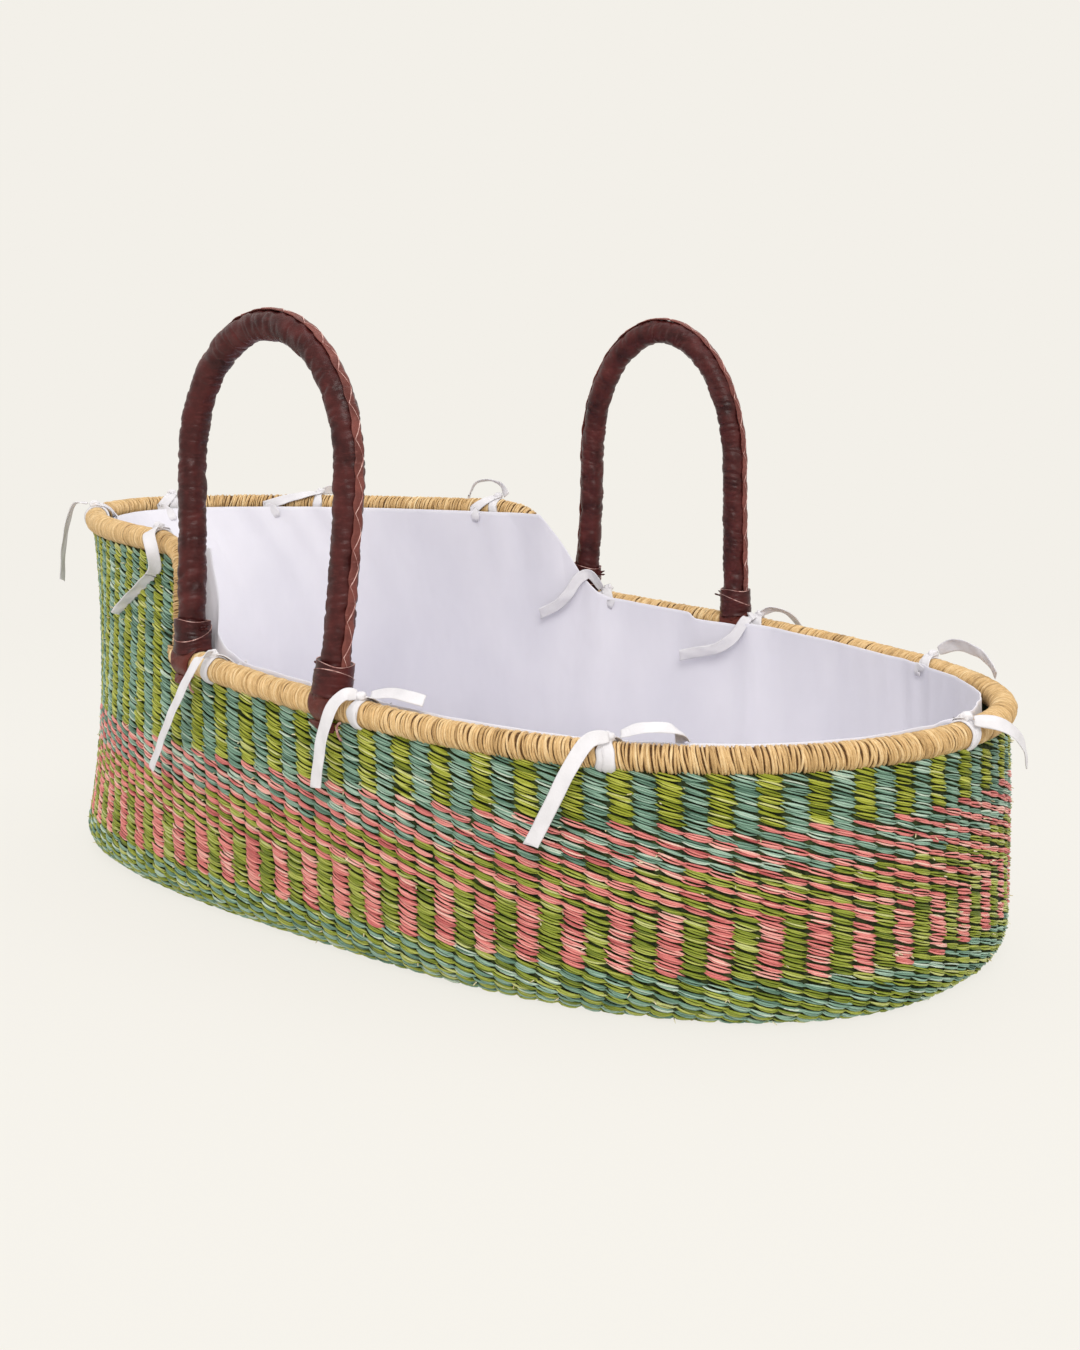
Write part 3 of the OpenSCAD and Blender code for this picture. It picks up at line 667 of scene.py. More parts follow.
def stitches(name, s0, f0, pitch, material):
    """Twined stitches of three grass blades each, centred at s0, f0.

    pitch is the share of the way round between two stakes."""
    count, blades = len(s0), len(BLADES)

    def jitter(spread, per_blade=False):
        return rng.normal(0, spread, (count, blades if per_blade else 1, 1))

    length = STITCH_LENGTH * pitch * (1 + jitter(0.03) + jitter(0.03, True))
    drop = STITCH_DROP * (1 + jitter(0.08) + jitter(0.08, True))
    half = STITCH_HALF * (1 + jitter(0.05))
    tone = np.clip(0.53 + jitter(0.11) + jitter(0.20, True), 0, 0.95)
    # A few blades get the top tone, which carries the painted highlight streaks.
    tone = np.where(rng.random((count, blades, 1)) < 0.07, 0.96 + 0 * tone, tone)
    t = np.concatenate([np.repeat(BLADE_T, len(BLADE_V)), [-1.0, 1.0]])
    v = np.concatenate([np.tile(BLADE_V, len(BLADE_T)), [0, 0]])
    e = np.concatenate([np.tile(BLADE_E, len(BLADE_T)), [0, 0]])
    full = (1 - np.abs(t) ** 2.4) ** 0.8
    slim = (1 - np.abs(t) ** 2.6) ** 0.8
    lane = BLADES[None, :, None] + jitter(0.07, True)
    across = half * lane * full
    across = across + (0.37 + jitter(0.04, True)) * half * v * slim + jitter(0.2) * (1 - t**2)
    crown = 0.55 * (1 - lane**2) * full
    lift = 0.72 * e * slim * (1 + jitter(0.15, True)) + crown + jitter(0.13) + jitter(0.16, True) * full
    slide = jitter(0.10, True) * pitch
    s = s0[:, None, None] - drop * t + across
    f = f0[:, None, None] + length * t + slide * (1 - 0.35 * t**2)
    above = profile(s)[1] > low_rim_z(DROP_FOOT) + 2
    near, far = (skin.share_of(s0, edge)[:, None, None] for edge in (NEAR_EDGE, FAR_EDGE))
    f = np.where(above & (f0[:, None, None] < 0.5), np.minimum(f, near), f)
    f = np.where(above & (f0[:, None, None] > 0.5), np.maximum(f, far), f)
    points = skin.place(s, f, lift - 0.65 - DIVE * np.abs(t) ** 2.6)
    points[..., 2] = np.maximum(points[..., 2], 0.08)
    shape = np.zeros(f.shape)
    strand = np.stack([t + shape, v + 3 * lane + shape, tone + shape], -1)
    add_mesh(name, points, blade_faces(count * blades), material=material,
             strand=strand.reshape(-1, 3))


BANDS = [
    ("foot", 0, 10, ("leaf", "teal"), True),
    ("bars", 10, 19, ("leaf", "pink"), False),
    ("slant", 19, 25, ("leaf", "pink"), True),
    ("upper", 25, 31, ("teal", "pink"), True),
    ("top", 31, 200, ("teal", "lime"), False),
]
DYES = {"lime": lime, "leaf": leaf, "teal": teal, "pink": pink}


def build_weave():
    """Five bands of rows; in a slanting band the two colours change places from row to row."""
    rows = int((TOP_S - 4) / ROW)
    for band, first, last, colours, slanting in BANDS:
        r, k = np.meshgrid(np.arange(first, min(last, rows)), np.arange(STAKES), indexing="ij")
        s, f = ((r + 0.5) * ROW).ravel(), ((k + 0.5) / STAKES).ravel()
        which = ((k + r * slanting) % 2).ravel()
        angle, z = skin.angle(s, f), profile(s)[1]
        hood = np.abs(angle) > DROP_FOOT + 0.9
        top = np.where(hood, drop_z(np.maximum(np.abs(angle), DROP_HEAD)), low_rim_z(angle))
        for side, colour in enumerate(colours):
            keep = (which == side) & (z < top - 5.5)
            stitches(f"weave_{band}_{colour}", s[keep], f[keep], 1 / STAKES, DYES[colour])


def wall_core():
    """Closed shell just behind the stitches, ribbed by the stakes."""
    edges = [-DROP_HEAD, -DROP_FOOT, DROP_FOOT, DROP_HEAD]
    around = np.unique(np.concatenate([np.linspace(-180, 180, 1441)[:-1], edges]))
    low = np.abs(around) < DROP_FOOT
    top = np.where(low, low_rim_z(around) - 5, drop_z(around) - 5)
    cut = np.minimum(np.abs(np.abs(around) - FOOT_STATION), np.abs(np.abs(around) - HEAD_STATION)) < 1.9
    top = np.where(cut, low_rim_z(around) - 15.5, top)
    line = wall(around, 60.0, 0)
    run = run_of(line)
    run /= run[-1] + np.linalg.norm(line[0] - line[-1])
    ribs = 0.5 * np.cos((run * STAKES - 0.5) * 2 * np.pi)
    outer, inner = [], []
    for s in np.linspace(0.3, EDGE_S[-1], 9):
        inset, z = profile(s)
        lift = min(1.0, float(s) / 10)
        outer.append(wall(around, float(z) + 1.2 * (1 - lift), inset + 2.2 - ribs * lift))
    for k in range(1, 15):
        outer.append(wall(around, EDGE_TOP + (top - EDGE_TOP) * k / 14, -WALL_T / 2 + 2.2 - ribs))
    for k in range(14, -1, -1):
        inner.append(wall(around, EDGE_TOP + (top - EDGE_TOP) * k / 14, WALL_T / 2 + 0.3 * ribs))
    for z in (17.0, 12.0, 9.0):
        a = math.sqrt(1 - ((EDGE_TOP - z) / (EDGE_TOP - BASE_T)) ** 2)
        inner.append(wall(around, z, (TURN_IN - WALL_T / 2) * (1 - a) + WALL_T / 2))
    grid = np.array(outer + inner)
    faces = grid_faces(len(grid), len(around), close_n=True, close_m=True, flip=True)
    # Its near-black colour is painted shade for the gaps between the stitches.
    add_mesh("woven_wall_core", grid, faces, material=painted_shade_core, replaces=["woven_wall"])


# ---- Rims ------------------------------------------------------------------------------------
def rim_path(angles):
    """Points of the rim's centre line and their outward directions."""
    signed = (np.asarray(angles) + 180) % 360 - 180
    z = rim_z(signed)
    return wall(signed, z), outward(signed, z)


def dense_line(start, stop, step):
    """Evenly spaced points of a rim between two angles, with their outward directions and angles."""
    front_edge = np.linspace(DROP_FOOT, 118, 400) if start > 0 else []
    angles = np.unique(np.concatenate([np.linspace(start, stop, 3000), front_edge]))
    path, outs = rim_path(angles)
    at, index = even(path, step)
    return at, pick(path, index), unit(pick(outs, index)), pick(angles, index)


STRAND_PITCH = 1.7
# The section of a strand, across and outward.
STRAND_SECTION = [(-1.0, -0.7), (-0.75, 0.35), (-0.1, 0.9), (0.65, 0.45), (1.0, -0.7)]


def rim_wrap(name, start, stop, radius_of, node):
    """Straw wound round a rim: one closed, tilted ring of strand for each turn."""
    steps = 24
    at, path, outs, angles = dense_line(start, stop, STRAND_PITCH)
    t, n, b = frames(path, outs)
    count = len(at)
    radius = radius_of(angles)
    scale = radius / RIM_R
    slow, mid = lumps(at / 34.0, 7.0, start), lumps(at / 9.0, 3.0, start)
    tilt = 1.5 + 1.9 * slow + rng.normal(0, 0.45, count)
    rise = 0.18 * mid + rng.normal(0, 0.16, count)
    width = np.clip(rng.normal(0.96, 0.15, count), 0.65, 1.4)
    tone = np.clip(0.54 + 0.14 * slow + 0.18 * mid + rng.normal(0, 0.14, count), 0, 0.99)
    shift = rng.normal(0, 0.25, count)
    phase = rng.uniform(0, 6.3, (count, 2))
    a = full_turn(steps)[None, :]
    ring = np.cos(a)[..., None] * n[:, None] + np.sin(a)[..., None] * b[:, None]
    up = ring[..., 2]
    along = shift[:, None] - tilt[:, None] * up * scale[:, None]
    along += 0.34 * np.sin(a + phase[:, :1]) + 0.20 * np.sin(2 * a + phase[:, 1:])
    along = np.clip(along + at[:, None], 1.0, at[-1] - 1.0) - at[:, None]
    lift = rise[:, None] + 0.16 * np.sin(2 * a + phase[:, :1]) + 0.1 * np.sin(5 * a + phase[:, 1:])
    points, strand = [], []
    for across, height in STRAND_SECTION:
        w = across * width[:, None] * (1 + 0.12 * np.sin(3 * a + phase[:, 1:]))
        r = (radius[:, None] - 0.85 + lift) + height * 0.95
        points.append(path[:, None] + t[:, None] * (along + w)[..., None] + ring * r[..., None])
        own = [a * 2.2 + 9 * phase[:, :1], across + 0 * along, tone[:, None] + 0 * along]
        strand.append(np.stack(own, -1))
    points, strand = (np.stack(x, 2).reshape(-1, 3) for x in (points, strand))
    m = len(STRAND_SECTION)
    one = grid_faces(steps, m, close_n=True, close_m=True, flip=True)
    faces = (one[None] + np.arange(count)[:, None, None] * steps * m).reshape(-1, 4)
    add_mesh(name, points, faces, material=straw, replaces=[node], strand=strand)
    # A dark tube just under the strands: painted shade showing in the gaps between them.
    under = path[:, None] + ring * (radius[:, None, None] - 1.25)
    add_mesh(name + "_bed", under, tube_faces(count, steps), material=straw_gap_shade)


def low_rim_radius(angles):
    return np.full(len(angles), RIM_R)


def hood_radius(angles):
    return np.interp(np.minimum(angles, 360 - angles), [DROP_HEAD, 118], [BINDING_R, RIM_R])


# ---- Handles ---------------------------------------------------------------------------------
def foot_at(side, station):
    return wall(side * station, low_rim_z(side * station))


class Handle:
    """One handle's own frame: x runs along the hinge, z up. end is -1 at the head, 1 at the foot."""

    def __init__(self, side):
        self.side = side
        self.name = "near" if side < 0 else "far"
        self.body = self.name + "_handle"
        foot, head = foot_at(side, FOOT_STATION), foot_at(side, HEAD_STATION)
        self.hinge = foot - head
        self.middle = (foot + head) / 2
        self.half = math.hypot(self.hinge[0], self.hinge[1]) / 2
        near_hinge = foot_at(-1, FOOT_STATION) - foot_at(-1, HEAD_STATION)
        self.rise = near_hinge[2] / 2
        lean = Matrix.Rotation(math.radians(side * LEAN[side]), 3, Vector(self.hinge))
        yaw = Matrix.Rotation(math.atan2(self.hinge[1], self.hinge[0]), 3, "Z")
        self.turn = np.array(lean @ yaw)

    def out(self, points):
        """From the handle's frame to the row frame."""
        return np.asarray(points) @ self.turn.T + self.middle

    def leg(self, end):
        """Foot and direction of a leg's centre line, its knee and its top, in the handle's frame."""
        foot = np.array([end * self.half, 0, end * self.rise])
        high = ARCH_H - ARCH_RISE[self.side]
        top = np.array([ARCH_SHIFT[self.side] + end * ARCH_HALF[self.side], 0, high])
        knee = top - np.array([0, 0, (1 - KNEE_SHARE) * high])
        return foot, unit(knee - foot), knee, top

    def line(self, start, offset, step):
        """Evenly spaced points up one leg, over the arch and down the other, with outward directions."""
        points, outs = [], []
        for end in (-1, 1):
            foot, axis, knee, top = self.leg(end)
            bend = foot + LEG_STRAIGHT * axis
            s = np.linspace(start, LEG_STRAIGHT, 30, endpoint=False)[:, None]
            t = np.linspace(0, 1, 120, endpoint=False)[:, None]
            curve = (1 - t) ** 2 * bend + 2 * t * (1 - t) * knee + t * t * top
            leg = np.concatenate([foot + s * axis, curve])
            aim = np.concatenate([axis + 0 * s, unit((1 - t) * (knee - bend) + t * (top - knee))])
            out = end * np.stack([aim[:, 2], 0 * aim[:, 0], -aim[:, 0]], -1)
            points.append((leg + offset * out)[::-end])
            outs.append(out[::-end])
        a = np.pi - np.pi * np.linspace(0, 1, 240)[:, None]
        half, rise = ARCH_HALF[self.side], ARCH_RISE[self.side]
        arch = unit(np.concatenate([rise * np.cos(a), 0 * a, half * np.sin(a)], 1))
        round_top = [ARCH_SHIFT[self.side] + half * np.cos(a), 0 * a, ARCH_H - rise + rise * np.sin(a)]
        points.insert(1, np.concatenate(round_top, 1) + offset * arch)
        outs.insert(1, arch)
        points, outs = np.concatenate(points), np.concatenate(outs)
        at, index = even(points, step)
        smooth = pick(outs, index)
        for _ in range(6):
            smooth[1:-1] = (smooth[:-2] + smooth[1:-1] * 2 + smooth[2:]) / 4
        return at, pick(points, index), unit(smooth)

    def on_leg(self, end, x, y, z):
        """Points given along a leg's own axes: x outward, y across, z up the leg."""
        base, axis, _, _ = self.leg(end)
        out = end * np.array([axis[2], 0, -axis[0]])
        x, y, z = (np.asarray(v, float)[..., None] for v in (x, y, z))
        return base + x * out + y * np.array([0, 1, 0]) + z * axis


def creased(s, a, seed):
    """Height of wrinkled leather at s mm along and angle a round a grip."""
    wind = Vector((0.45 * math.cos(a), 0.45 * math.sin(a), seed))
    skew = 2.2 * math.sin(a + seed) + 1.4 * noise.noise(Vector((s / 30, seed, 5)))
    fine = abs(noise.noise(Vector(((s + skew) / 5.5, *wind.xy * 1.3)) + Vector((seed, 0, 0))))
    deep = abs(noise.noise(Vector(((s + skew) / 17, wind.x, wind.y + 40 + seed))))
    lump = noise.noise(Vector((s / 26, 1.1 * math.cos(a), 1.1 * math.sin(a) + seed * 3)))
    return 2.2 * min(fine, 0.33) + 3.0 * min(deep, 0.26) + 0.9 * lump - 1.08


def handle_grip(h):
    """The wrinkled leather round the rope, from inside one collar to inside the other."""
    around = 44
    at, path, outs = h.line(LEG_START, 0, 0.9)
    t, n, b = frames(path, outs)
    a = full_turn(around)
    r = np.array([[GRIP_R + 0.1 + creased(s, x, 11 * h.side) for x in a] for s in at])
    r = np.minimum(r, GRIP_R + 0.9)
    inside = (at < COLLAR_H) | (at > at[-1] - COLLAR_H)
    r[inside] = np.minimum(r[inside], GRIP_R - 0.1)
    ring = np.cos(a)[None, :, None] * n[:, None] + np.sin(a)[None, :, None] * b[:, None]
    points = h.out(path[:, None] + ring * r[..., None])
    add_mesh(h.name + "_handle_grip", points, tube_faces(len(at), around), h.body, dark_leather,
             [h.name + "_handle_leather", h.name + "_handle_core"])


def sweep_points(path, outs, section):
    """Rings of a closed section (outward, across) along a path; section is n by m by 2."""
    t, n, b = frames(path, outs)
    return path[:, None] + section[..., :1] * n[:, None] + section[..., 1:] * b[:, None]


def handle_lacing(h):
    """Overlapping panels of thin leather along the outer seam, and the pale cut edges between them."""
    at, path, outs = h.line(LEG_START + COLLAR_H - 1, GRIP_R + 0.55, 0.6)
    panel = 11.5
    phase = (at / panel) % 1
    wide = 3.1 + 0.7 * np.sin(np.pi * phase) + 0.25 * lumps(at / 7, 2, h.side)
    high = 0.55 + 0.5 * (1 - phase)
    a = full_turn(12)
    section = np.stack([high[:, None] * np.cos(a), wide[:, None] * np.sin(a)], -1)
    section[..., 1] += (0.5 * np.sin(2 * np.pi * at / (2 * panel)))[:, None]
    points = h.out(sweep_points(path, outs, section))
    add_mesh(h.name + "_handle_seam", points, tube_faces(len(at), 12), h.body, seam_leather,
             [h.name + "_handle_lacing"])
    leg_of = (at // panel) % 2 == 0
    across = np.where(leg_of, -2.7 + 5.4 * phase**1.3, 2.7 - 5.4 * phase**0.8)
    across[1:-1] = (across[:-2] + across[1:-1] * 2 + across[2:]) / 4
    _, n, b = frames(path, outs)
    lift = 0.35 + 0.62 * (1 - (across / 3.6) ** 2)
    line = path + n * lift[:, None] + b * across[:, None]
    thick = np.where(leg_of, 0.34, 0.2) * (0.8 + 0.6 * (lumps(at / 5, 9, h.side) + 0.3))
    k = full_turn(5)
    edge = np.stack([thick[:, None] * np.cos(k), thick[:, None] * np.sin(k)], -1)
    points = h.out(sweep_points(line, outs, edge))
    add_mesh(h.name + "_handle_thread", points, tube_faces(len(at), 5), h.body, pale_leather)


COLLAR_DROP = 7.0
COLLAR_TURN = {(-1, -1): 0.3, (-1, 1): 2.6, (1, -1): 1.0, (1, 1): 4.0}


def handle_collar(h, end):
    """Strip of leather wrapped round the grip's foot, with a second layer crossing it on a slant."""
    label = h.name + ("_foot_collar" if end > 0 else "_head_collar")
    n, m = 40, 72
    a = full_turn(m)
    grid = []
    seed = 3.0 * h.side + end
    gathered_at = 2.2
    rim_top = 0.8 * np.sin(a + seed) + 0.5 * np.sin(3 * a)
    rim_low = 1.4 * np.sin(a * 2 + seed)
    slant = 6.0 * np.sin(a + COLLAR_TURN[h.side, end])
    for v in np.linspace(0, 1, n):
        z = (COLLAR_H + COLLAR_DROP) * v - COLLAR_DROP + rim_top * v**3 + rim_low * (1 - v) ** 3
        layer = 0.55 / (1 + np.exp((z - (6.5 + slant)) / 0.35))
        spoke = np.arctan2(z - 4, 9 * np.sin((a - gathered_at) / 2) + 0.01)
        fan = lumps(spoke * 4.5, 0.5 * np.cos(a), seed)
        lump = lumps(1.3 * np.cos(a), 1.3 * np.sin(a), z / 9 + seed)
        r = COLLAR_R - 0.95 + layer + 0.45 * fan + 0.55 * lump + 0.5 * np.exp(-((v / 0.1) ** 2))
        grid.append(h.on_leg(end, r * np.cos(a), r * np.sin(a), LEG_START + 0.5 + z))
    inner_r = GRIP_R + 0.3
    for z in (COLLAR_H + rim_top - 0.3, 0.3 + rim_low - COLLAR_DROP):
        grid.append(h.on_leg(end, inner_r * np.cos(a), inner_r * np.sin(a), LEG_START + 0.5 + z))
    grid = np.array(grid)
    add_mesh(label + "_skin", h.out(grid), grid_faces(len(grid), m, close_n=True, close_m=True), h.body,
             dark_leather, [label])
    parts = []
    for height, radius in ((COLLAR_H + rim_top + 0.5, COLLAR_R - 1.25), (6.8 + slant, COLLAR_R - 0.35)):
        ring = h.on_leg(end, radius * np.cos(a), radius * np.sin(a), height + LEG_START)
        outs = h.on_leg(end, np.cos(a), np.sin(a), 0 * a) - h.on_leg(end, 0, 0, 0)
        t = unit(np.roll(ring, -1, 0) - np.roll(ring, 1, 0))
        b = unit(np.cross(t, outs))
        thick = (0.24 + 0.13 * np.sin(3 * a + seed))[:, None, None]
        k = full_turn(6)[None, :, None]
        tube = ring[:, None] + thick * (np.cos(k) * unit(outs)[:, None] + np.sin(k) * b[:, None])
        parts.append(h.out(tube).reshape(-1, 3))
    one = grid_faces(m, 6, close_n=True, close_m=True)
    faces = np.concatenate([one + i * m * 6 for i in range(len(parts))])
    add_mesh(label + "_cut_edges", np.concatenate(parts), faces, h.body, pale_leather)


def handle_sleeve(h, end):
    """Leather wrapped round the rim under a handle foot and up the leg into its collar."""
    label = h.name + ("_foot_sleeve" if end > 0 else "_head_sleeve")
    station = FOOT_STATION if end > 0 else HEAD_STATION
    centre = foot_at(h.side, station)
    axis = unit(h.hinge)
    up = unit(np.array([0, 0, 1.0]) - axis * axis[2])
    across = np.cross(axis, up)
    n, m = 26, 80
    a = full_turn(m)
    rows = []
    half = 10.6 + 1.5 * np.cos(a) + 0.4 * np.sin(3 * a)
    shift = -1.3 * end * (1 - np.cos(a)) / 2
    radial = np.cos(a)[:, None] * up + np.sin(a)[:, None] * across
    for v in np.linspace(-1, 1, n):
        round_off = 1.3 * abs(v) ** 8
        lump = lumps(2 * np.cos(a), 2 * np.sin(a), v * 1.2 + end)
        fold = np.abs(lumps(a * 2.2 + v * 1.6, 4, end + h.side))
        r = 12.35 - round_off + 0.35 * lump + 0.5 * np.minimum(fold, 0.35)
        rows.append(centre + axis * (v * half - shift)[:, None] + r[:, None] * radial)
    for v in (1, -1):
        rows.append(centre + axis * (v * half - shift)[:, None] + 10.7 * radial)
    ring = np.array(rows)
    neck_rows = []
    for v in np.linspace(0, 1, 18):
        z = 4 + (LEG_START + 2 - 4) * v
        wide = 11.6 - 0.5 * math.sin(math.pi * v)
        lump = lumps(a * 1.5, v * 1.5, 7 + end * h.side)
        r = wide + 0.5 * lump + 0.35 * np.abs(np.sin(4 * a + 2 * v))
        neck_rows.append(h.out(h.on_leg(end, r * np.cos(a), r * np.sin(a), z + 0 * a)))
    sleeve = (ring.reshape(-1, 3), grid_faces(len(ring), m, close_n=True, close_m=True))
    neck = (np.array(neck_rows).reshape(-1, 3), tube_faces(len(neck_rows), m))
    points, faces = gather([sleeve, neck])
    add_mesh(label + "_skin", points, faces, h.body, red_leather, [label])


# Each end of a thong: how far across the leg, how high on it, how far it stands out, how thick.
THONGS = ((-0.9, 9.6, 6.2, 1.5), (1.1, 12.0, 4.2, 1.2), (0.2, 10.8, 2.2, 2.2))


def thong_ends(h):
    """Twisted ends of the thong that holds each collar, on the arch side of the leg."""
    parts = []
    for end in (-1, 1):
        for i, (y, z, reach, thick) in enumerate(THONGS):
            k = full_turn(8)
            rings = []
            for v in np.linspace(0, 1, 9):
                r = thick * (1 - 0.35 * v) * (1 + 0.15 * math.sin(9 * v + i))
                r = r if v < 0.99 else 0.5 * r
                x = -(COLLAR_R - 1.2 + (reach + 1.2) * v)
                height = LEG_START + z + 0.65 * r * np.sin(k) + 1.2 * v * v
                rings.append(h.out(h.on_leg(end, np.full(8, x), y + r * np.cos(k) + 0.6 * v * i, height)))
            parts.append((np.concatenate(rings), tube_faces(9, 8)))
    points, faces = gather(parts)
    add_mesh(h.name + "_thong_tips", points, faces, h.body, dark_leather,
             [h.name + "_thong_ends"])


TONGUE_TOP, TONGUE_LENGTH, TONGUE_HALF = 10.0, 6.5, 11.4


def leather_tongues(h):
    """Leather that comes down from under each sleeve and is sewn flat to the wall, narrowing to a tip."""
    points, faces = [], []
    for station in (FOOT_STATION, HEAD_STATION):
        u = h.side * station
        top = float(low_rim_z(u))
        rows, cols = 26, 22
        v = np.linspace(0, 1, rows)[:, None]
        x = np.linspace(-1, 1, cols)[None, :]
        half = TONGUE_HALF - 5.2 * v**1.6
        drop = TONGUE_TOP + TONGUE_LENGTH * v
        lean = (-4.0 if station == HEAD_STATION else 4.0) * v**1.2 * (1 if h.side < 0 else -1)
        run = np.linalg.norm(wall(u + 1, top) - wall(u - 1, top)) / 2
        angle = u + (half * x + lean) / run
        lump = lumps(x * 1.8, v * 3, station + h.side)
        puff = 1.9 * (1 - np.abs(x) ** 3) * (1 - 0.55 * v) + 0.7 * lump + 0.45 * np.abs(np.sin(5 * x + 3 * v))
        for lift in (0.9 + puff, np.full(puff.shape, -1.2)):
            first = sum(len(p) for p in points)
            points.append(wall(angle, top - drop, -WALL_T / 2 - lift).reshape(-1, 3))
            flip = (lift.min() < 0) == (h.side > 0)
            faces += [tuple(q) for q in grid_faces(rows, cols, first=first, flip=flip)]
        a, b = first - rows * cols, first
        loop = [(0, j) for j in range(cols)] + [(i, cols - 1) for i in range(1, rows)]
        loop += [(rows - 1, j) for j in range(cols - 2, -1, -1)] + [(i, 0) for i in range(rows - 2, 0, -1)]
        loop = [i * cols + j for i, j in loop]
        for p, q in zip(loop, loop[1:] + loop[:1]):
            faces.append((a + p, b + p, b + q, a + q) if h.side < 0 else (a + q, b + q, b + p, a + p))
    add_mesh(h.name + "_tongues", np.concatenate(points), faces, "basket", red_leather,
             [h.name + "_leather_tongues"])


def closed_tube(points, radius, sides, up):
    """Points and faces of a capped tube along a line."""
    outs = np.repeat(np.array([up], float), len(points), 0)
    k = full_turn(sides)
    radius = np.broadcast_to(radius, len(points))
    section = np.stack([radius[:, None] * np.cos(k), radius[:, None] * np.sin(k)], -1)
    return sweep_points(points, outs, section).reshape(-1, 3), tube_faces(len(points), sides)


def gather(parts):
    """One list of points and faces from several closed parts, each turned to face outward."""
    points, faces, first = [], [], 0
    for p, f in parts:
        points.append(p)
        faces += [tuple(i + first for i in q) for q in facing_out(p, f)]
        first += len(p)
    return np.concatenate(points), faces


LOOP_DROP = 13.5


def sewn_loops():
    """A small loop of pale leather through the wall beside each tongue."""
    parts = []
    for side in (-1, 1):
        for station in (FOOT_STATION, HEAD_STATION):
            u = side * (station - 1.9)
            z = float(low_rim_z(u)) - LOOP_DROP
            a = np.linspace(0, np.pi, 22)
            centre = wall(u, z, -WALL_T / 2)
            out = outward(u, z)
            ahead = np.cross(out, [0, 0, 1.0])
            hang = centre + out * (3.4 * np.sin(a)[:, None] + 0.2)
            hang = hang + np.array([0, 0, 1.0]) * (5.5 * np.cos(a)[:, None])
            hang = hang + ahead * (0.9 * np.sin(2 * a)[:, None])
            parts.append(closed_tube(hang, 0.85 + 0.1 * np.sin(7 * a), 8, tuple(ahead)))
    points, faces = gather(parts)
    add_mesh("sewn_loops", points, faces, material=pale_leather, replaces=["tongue_stitches"])


# ---- Liner and mattress ----------------------------------------------------------------------
def liner_top(u):
    """Height of the liner's edge, which climbs at the hood and dips at the near foot-end sleeve."""
    a = np.abs(u)
    climb = np.interp(a, [103.6, 105.4, 107.6, 111.8, 112.8, 118], [0, 4, 14, 60, 70, 90])
    top = low_rim_z(u) + LINER_RISE + climb
    top = np.minimum(HOOD_H - 2.0, top)
    near = np.clip(1 - (np.abs(a - FOOT_STATION) / 3.4) ** 4, 0, 1)
    dip = low_rim_z(u) - np.where(u > 0, -2.0, LINER_DIP + 1.5)
    return top + (np.minimum(dip, top) - top) * np.minimum(1, near * 1.6)


def liner_fold(u, z, top):
    """How far the cotton stands in from its usual place: soft hanging folds, gathered at the ties."""
    down = np.maximum(top - z, 0)
    c, s = np.cos(np.radians(u)), np.sin(np.radians(u))
    broad, fine = lumps(7 * c, 7 * s, 3), lumps(16 * c, 16 * s, 8)
    fold = 2.2 * broad[None] + 1.5 * fine[None] * np.exp(-down / 90)
    for station in TIE_STATIONS:
        near = (u - station + 180) % 360 - 180
        pleat = np.cos(near / 1.15) * np.exp(-((near / 4.5) ** 2))
        pull = np.exp(-((near / 3.5) ** 2))
        fold = fold + 2.2 * pleat[None] * np.exp(-down / 60) - 1.3 * pull[None] * np.exp(-down / 16)
    fold = fold + 3.4 * np.exp(-(((u - FOOT_STATION) / 4.2) ** 4))[None] * np.exp(-down / 60)
    for station in (FOOT_STATION, DROP_FOOT):
        for side in (-1, 1):
            near = (u - side * station + 180) % 360 - 180
            wave = np.sin(near * 0.9) * np.exp(-((near / 5.0) ** 2))
            fold = fold + 2.2 * wave[None] * np.exp(-down / 60)
    return fold


def build_liner():
    """The wall of the liner: one closed sheet with an inner and an outer face and a faint hem line."""
    hood_front = np.linspace(104, 119, 90)
    around = np.unique(np.concatenate([np.linspace(-180, 180, 1081)[:-1], hood_front, -hood_front]))
    top = liner_top(around)
    steps = 64
    share = np.linspace(0, 1, steps) ** 0.8
    z = LINER_LOW + (top[None] - LINER_LOW) * share[:, None]
    fold = liner_fold(around, z, top[None]) * np.minimum(1, (z - LINER_LOW) / 30)
    fold = np.clip(fold, -1.8, 5)
    inner = [wall(around, zz, LINER_INSET + 1.2 + ff) for zz, ff in zip(z, fold)]
    hem = 0.45 * np.exp(-(((top[None] - z) - 13) / 1.0) ** 2)
    outer = [wall(around, zz, LINER_INSET + 0.2 + ff - hh) for zz, ff, hh in zip(z, fold, hem)]
    crown = [wall(around, top + 0.45, LINER_INSET + 0.7 + fold[-1])]
    grid = np.array(inner + crown + outer[::-1])
    piece = add_mesh("cotton_liner", grid, grid_faces(len(grid), len(around), close_n=True, close_m=True),
                     material=cotton, replaces=["liner_wall"])
    run = run_of(wall(around, low_rim_z(around), LINER_INSET))[-1] / 1000


def build_liner_floor():
    """The liner's floor, laid on the woven base."""
    around = np.linspace(-180, 180, 361)[:-1]
    edge = wall(around, 0, 16.6)[:, :2]
    middle = np.array([MIDDLE_X, 0.0])
    layers = []
    for base in (8.35, 9.15):
        rows = []
        for share in np.linspace(0.02, 1, 40):
            flat = middle + (edge - middle) * share
            wave = 0.28 * lumps(flat[:, 0] / 28, flat[:, 1] / 28, 2)
            rows.append(np.column_stack([flat, base + 0.35 + wave - (0.3 if base < 9 else 0)]))
        layers.append(np.array(rows))
    low, high = layers
    grid = np.concatenate([low, high[::-1]])
    faces = tube_faces(len(grid), len(around))
    piece = add_mesh("liner_floor_sheet", grid, faces, material=cotton, replaces=["liner_floor"])


